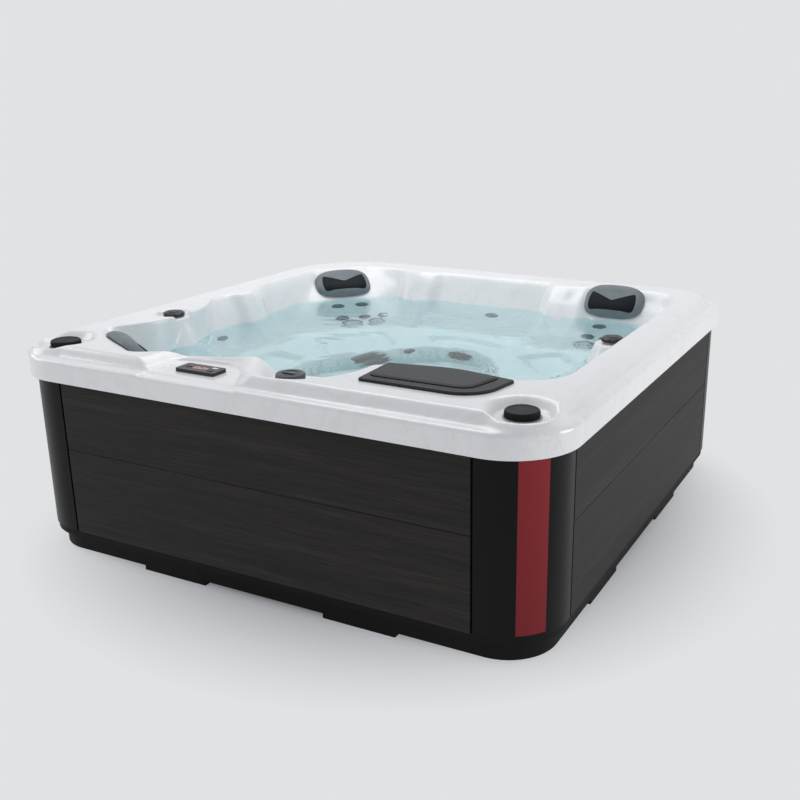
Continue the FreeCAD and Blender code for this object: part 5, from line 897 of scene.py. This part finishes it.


# Studio: a pale floor that runs out into a pale backdrop, three soft boxes and the photograph's camera.

BACKDROP = paint(224, 226, 228)
world = bpy.data.worlds.new("studio")
bpy.context.scene.world = world
world.use_nodes = True
tree = world.node_tree
tree.nodes.clear()
way = add(tree, "ShaderNodeLightPath")
seen = add(tree, "ShaderNodeMath", {0: way.outputs["Is Camera Ray"], 1: way.outputs["Is Glossy Ray"]},
           operation="MAXIMUM").outputs[0]
seen = add(tree, "ShaderNodeMath", {0: seen, 1: way.outputs["Is Transmission Ray"]},
           operation="MAXIMUM").outputs[0]
shown = add(tree, "ShaderNodeBackground", {"Color": BACKDROP, "Strength": 1.0}).outputs[0]
soft = add(tree, "ShaderNodeBackground", {"Color": (0.92, 0.95, 1.0, 1.0), "Strength": 0.50}).outputs[0]
mixed = add(tree, "ShaderNodeMixShader", {0: seen, 1: soft, 2: shown}).outputs[0]
add(tree, "ShaderNodeOutputWorld", {"Surface": mixed})

floor_mesh = bpy.data.meshes.new("floor")
FLOOR_RADIUS, FLOOR_SIDES = 14, 64
ring = np.arange(FLOOR_SIDES) / FLOOR_SIDES * 2 * math.pi
floor_mesh.from_pydata([(FLOOR_RADIUS * math.cos(a), FLOOR_RADIUS * math.sin(a), 0.0) for a in ring], [],
                       [list(range(FLOOR_SIDES))])
floor = bpy.data.objects.new("floor", floor_mesh)
bpy.context.scene.collection.objects.link(floor)
floor_look, tree, shader = new_material("floor_paper", Roughness=0.9)
shader.inputs["Specular IOR Level"].default_value = 0.0
point = place(tree)
paper = ramp(tree, noise(tree, point, 1.2, 3.0), (0.3, paint(240, 241, 243)), (0.7, paint(243, 244, 246)))
tree.links.new(paper, shader.inputs["Base Color"])
far = add(tree, "ShaderNodeVectorMath", {0: point}, operation="LENGTH").outputs["Value"]
fade = span(tree, far, 0.0, 1.0, 0.9, 1.6)
glow = add(tree, "ShaderNodeEmission", {"Color": BACKDROP, "Strength": 1.0}).outputs[0]
mixed = add(tree, "ShaderNodeMixShader", {0: fade, 1: shader.outputs[0], 2: glow}).outputs[0]
tree.links.new(mixed, tree.nodes["Material Output"].inputs["Surface"])
floor_mesh.materials.append(floor_look)


def soft_box(name, spot, aim, wide, high, power):
    """An area lamp at a spot, turned to a point."""
    lamp = bpy.data.lights.new(name, "AREA")
    lamp.shape = "RECTANGLE"
    lamp.size, lamp.size_y, lamp.energy = wide, high, power
    holder = bpy.data.objects.new(name, lamp)
    bpy.context.scene.collection.objects.link(holder)
    away = np.array(spot) - np.array(aim)
    holder.location = spot
    holder.rotation_euler = (math.acos(away[2] / np.linalg.norm(away)), 0.0,
                             math.atan2(away[1], away[0]) + math.pi / 2)


soft_box("ceiling_box", (-0.6, 1.0, 3.6), (0.0, 0.1, 0.5), 3.2, 2.4, 56.0)
soft_box("left_box", (-3.8, -1.5, 2.4), (0.0, 0.0, 0.5), 1.6, 2.2, 27.0)
soft_box("right_box", (4.2, 0.6, 1.0), (0.6, 0.0, 0.3), 1.4, 1.6, 34.0)

lens_data = bpy.data.cameras.new("photo_camera")
lens_data.lens = 45.29
lens_data.sensor_width = 36.0
lens_data.shift_x = -0.0756
lens_data.shift_y = 0.0079
camera = bpy.data.objects.new("photo_camera", lens_data)
camera.location = (2.048, -3.555, 1.756)
camera.rotation_euler = (math.radians(71.949), 0.0, math.radians(26.716))
bpy.context.scene.collection.objects.link(camera)
bpy.context.scene.camera = camera
bpy.context.scene.view_settings.view_transform = "Standard"
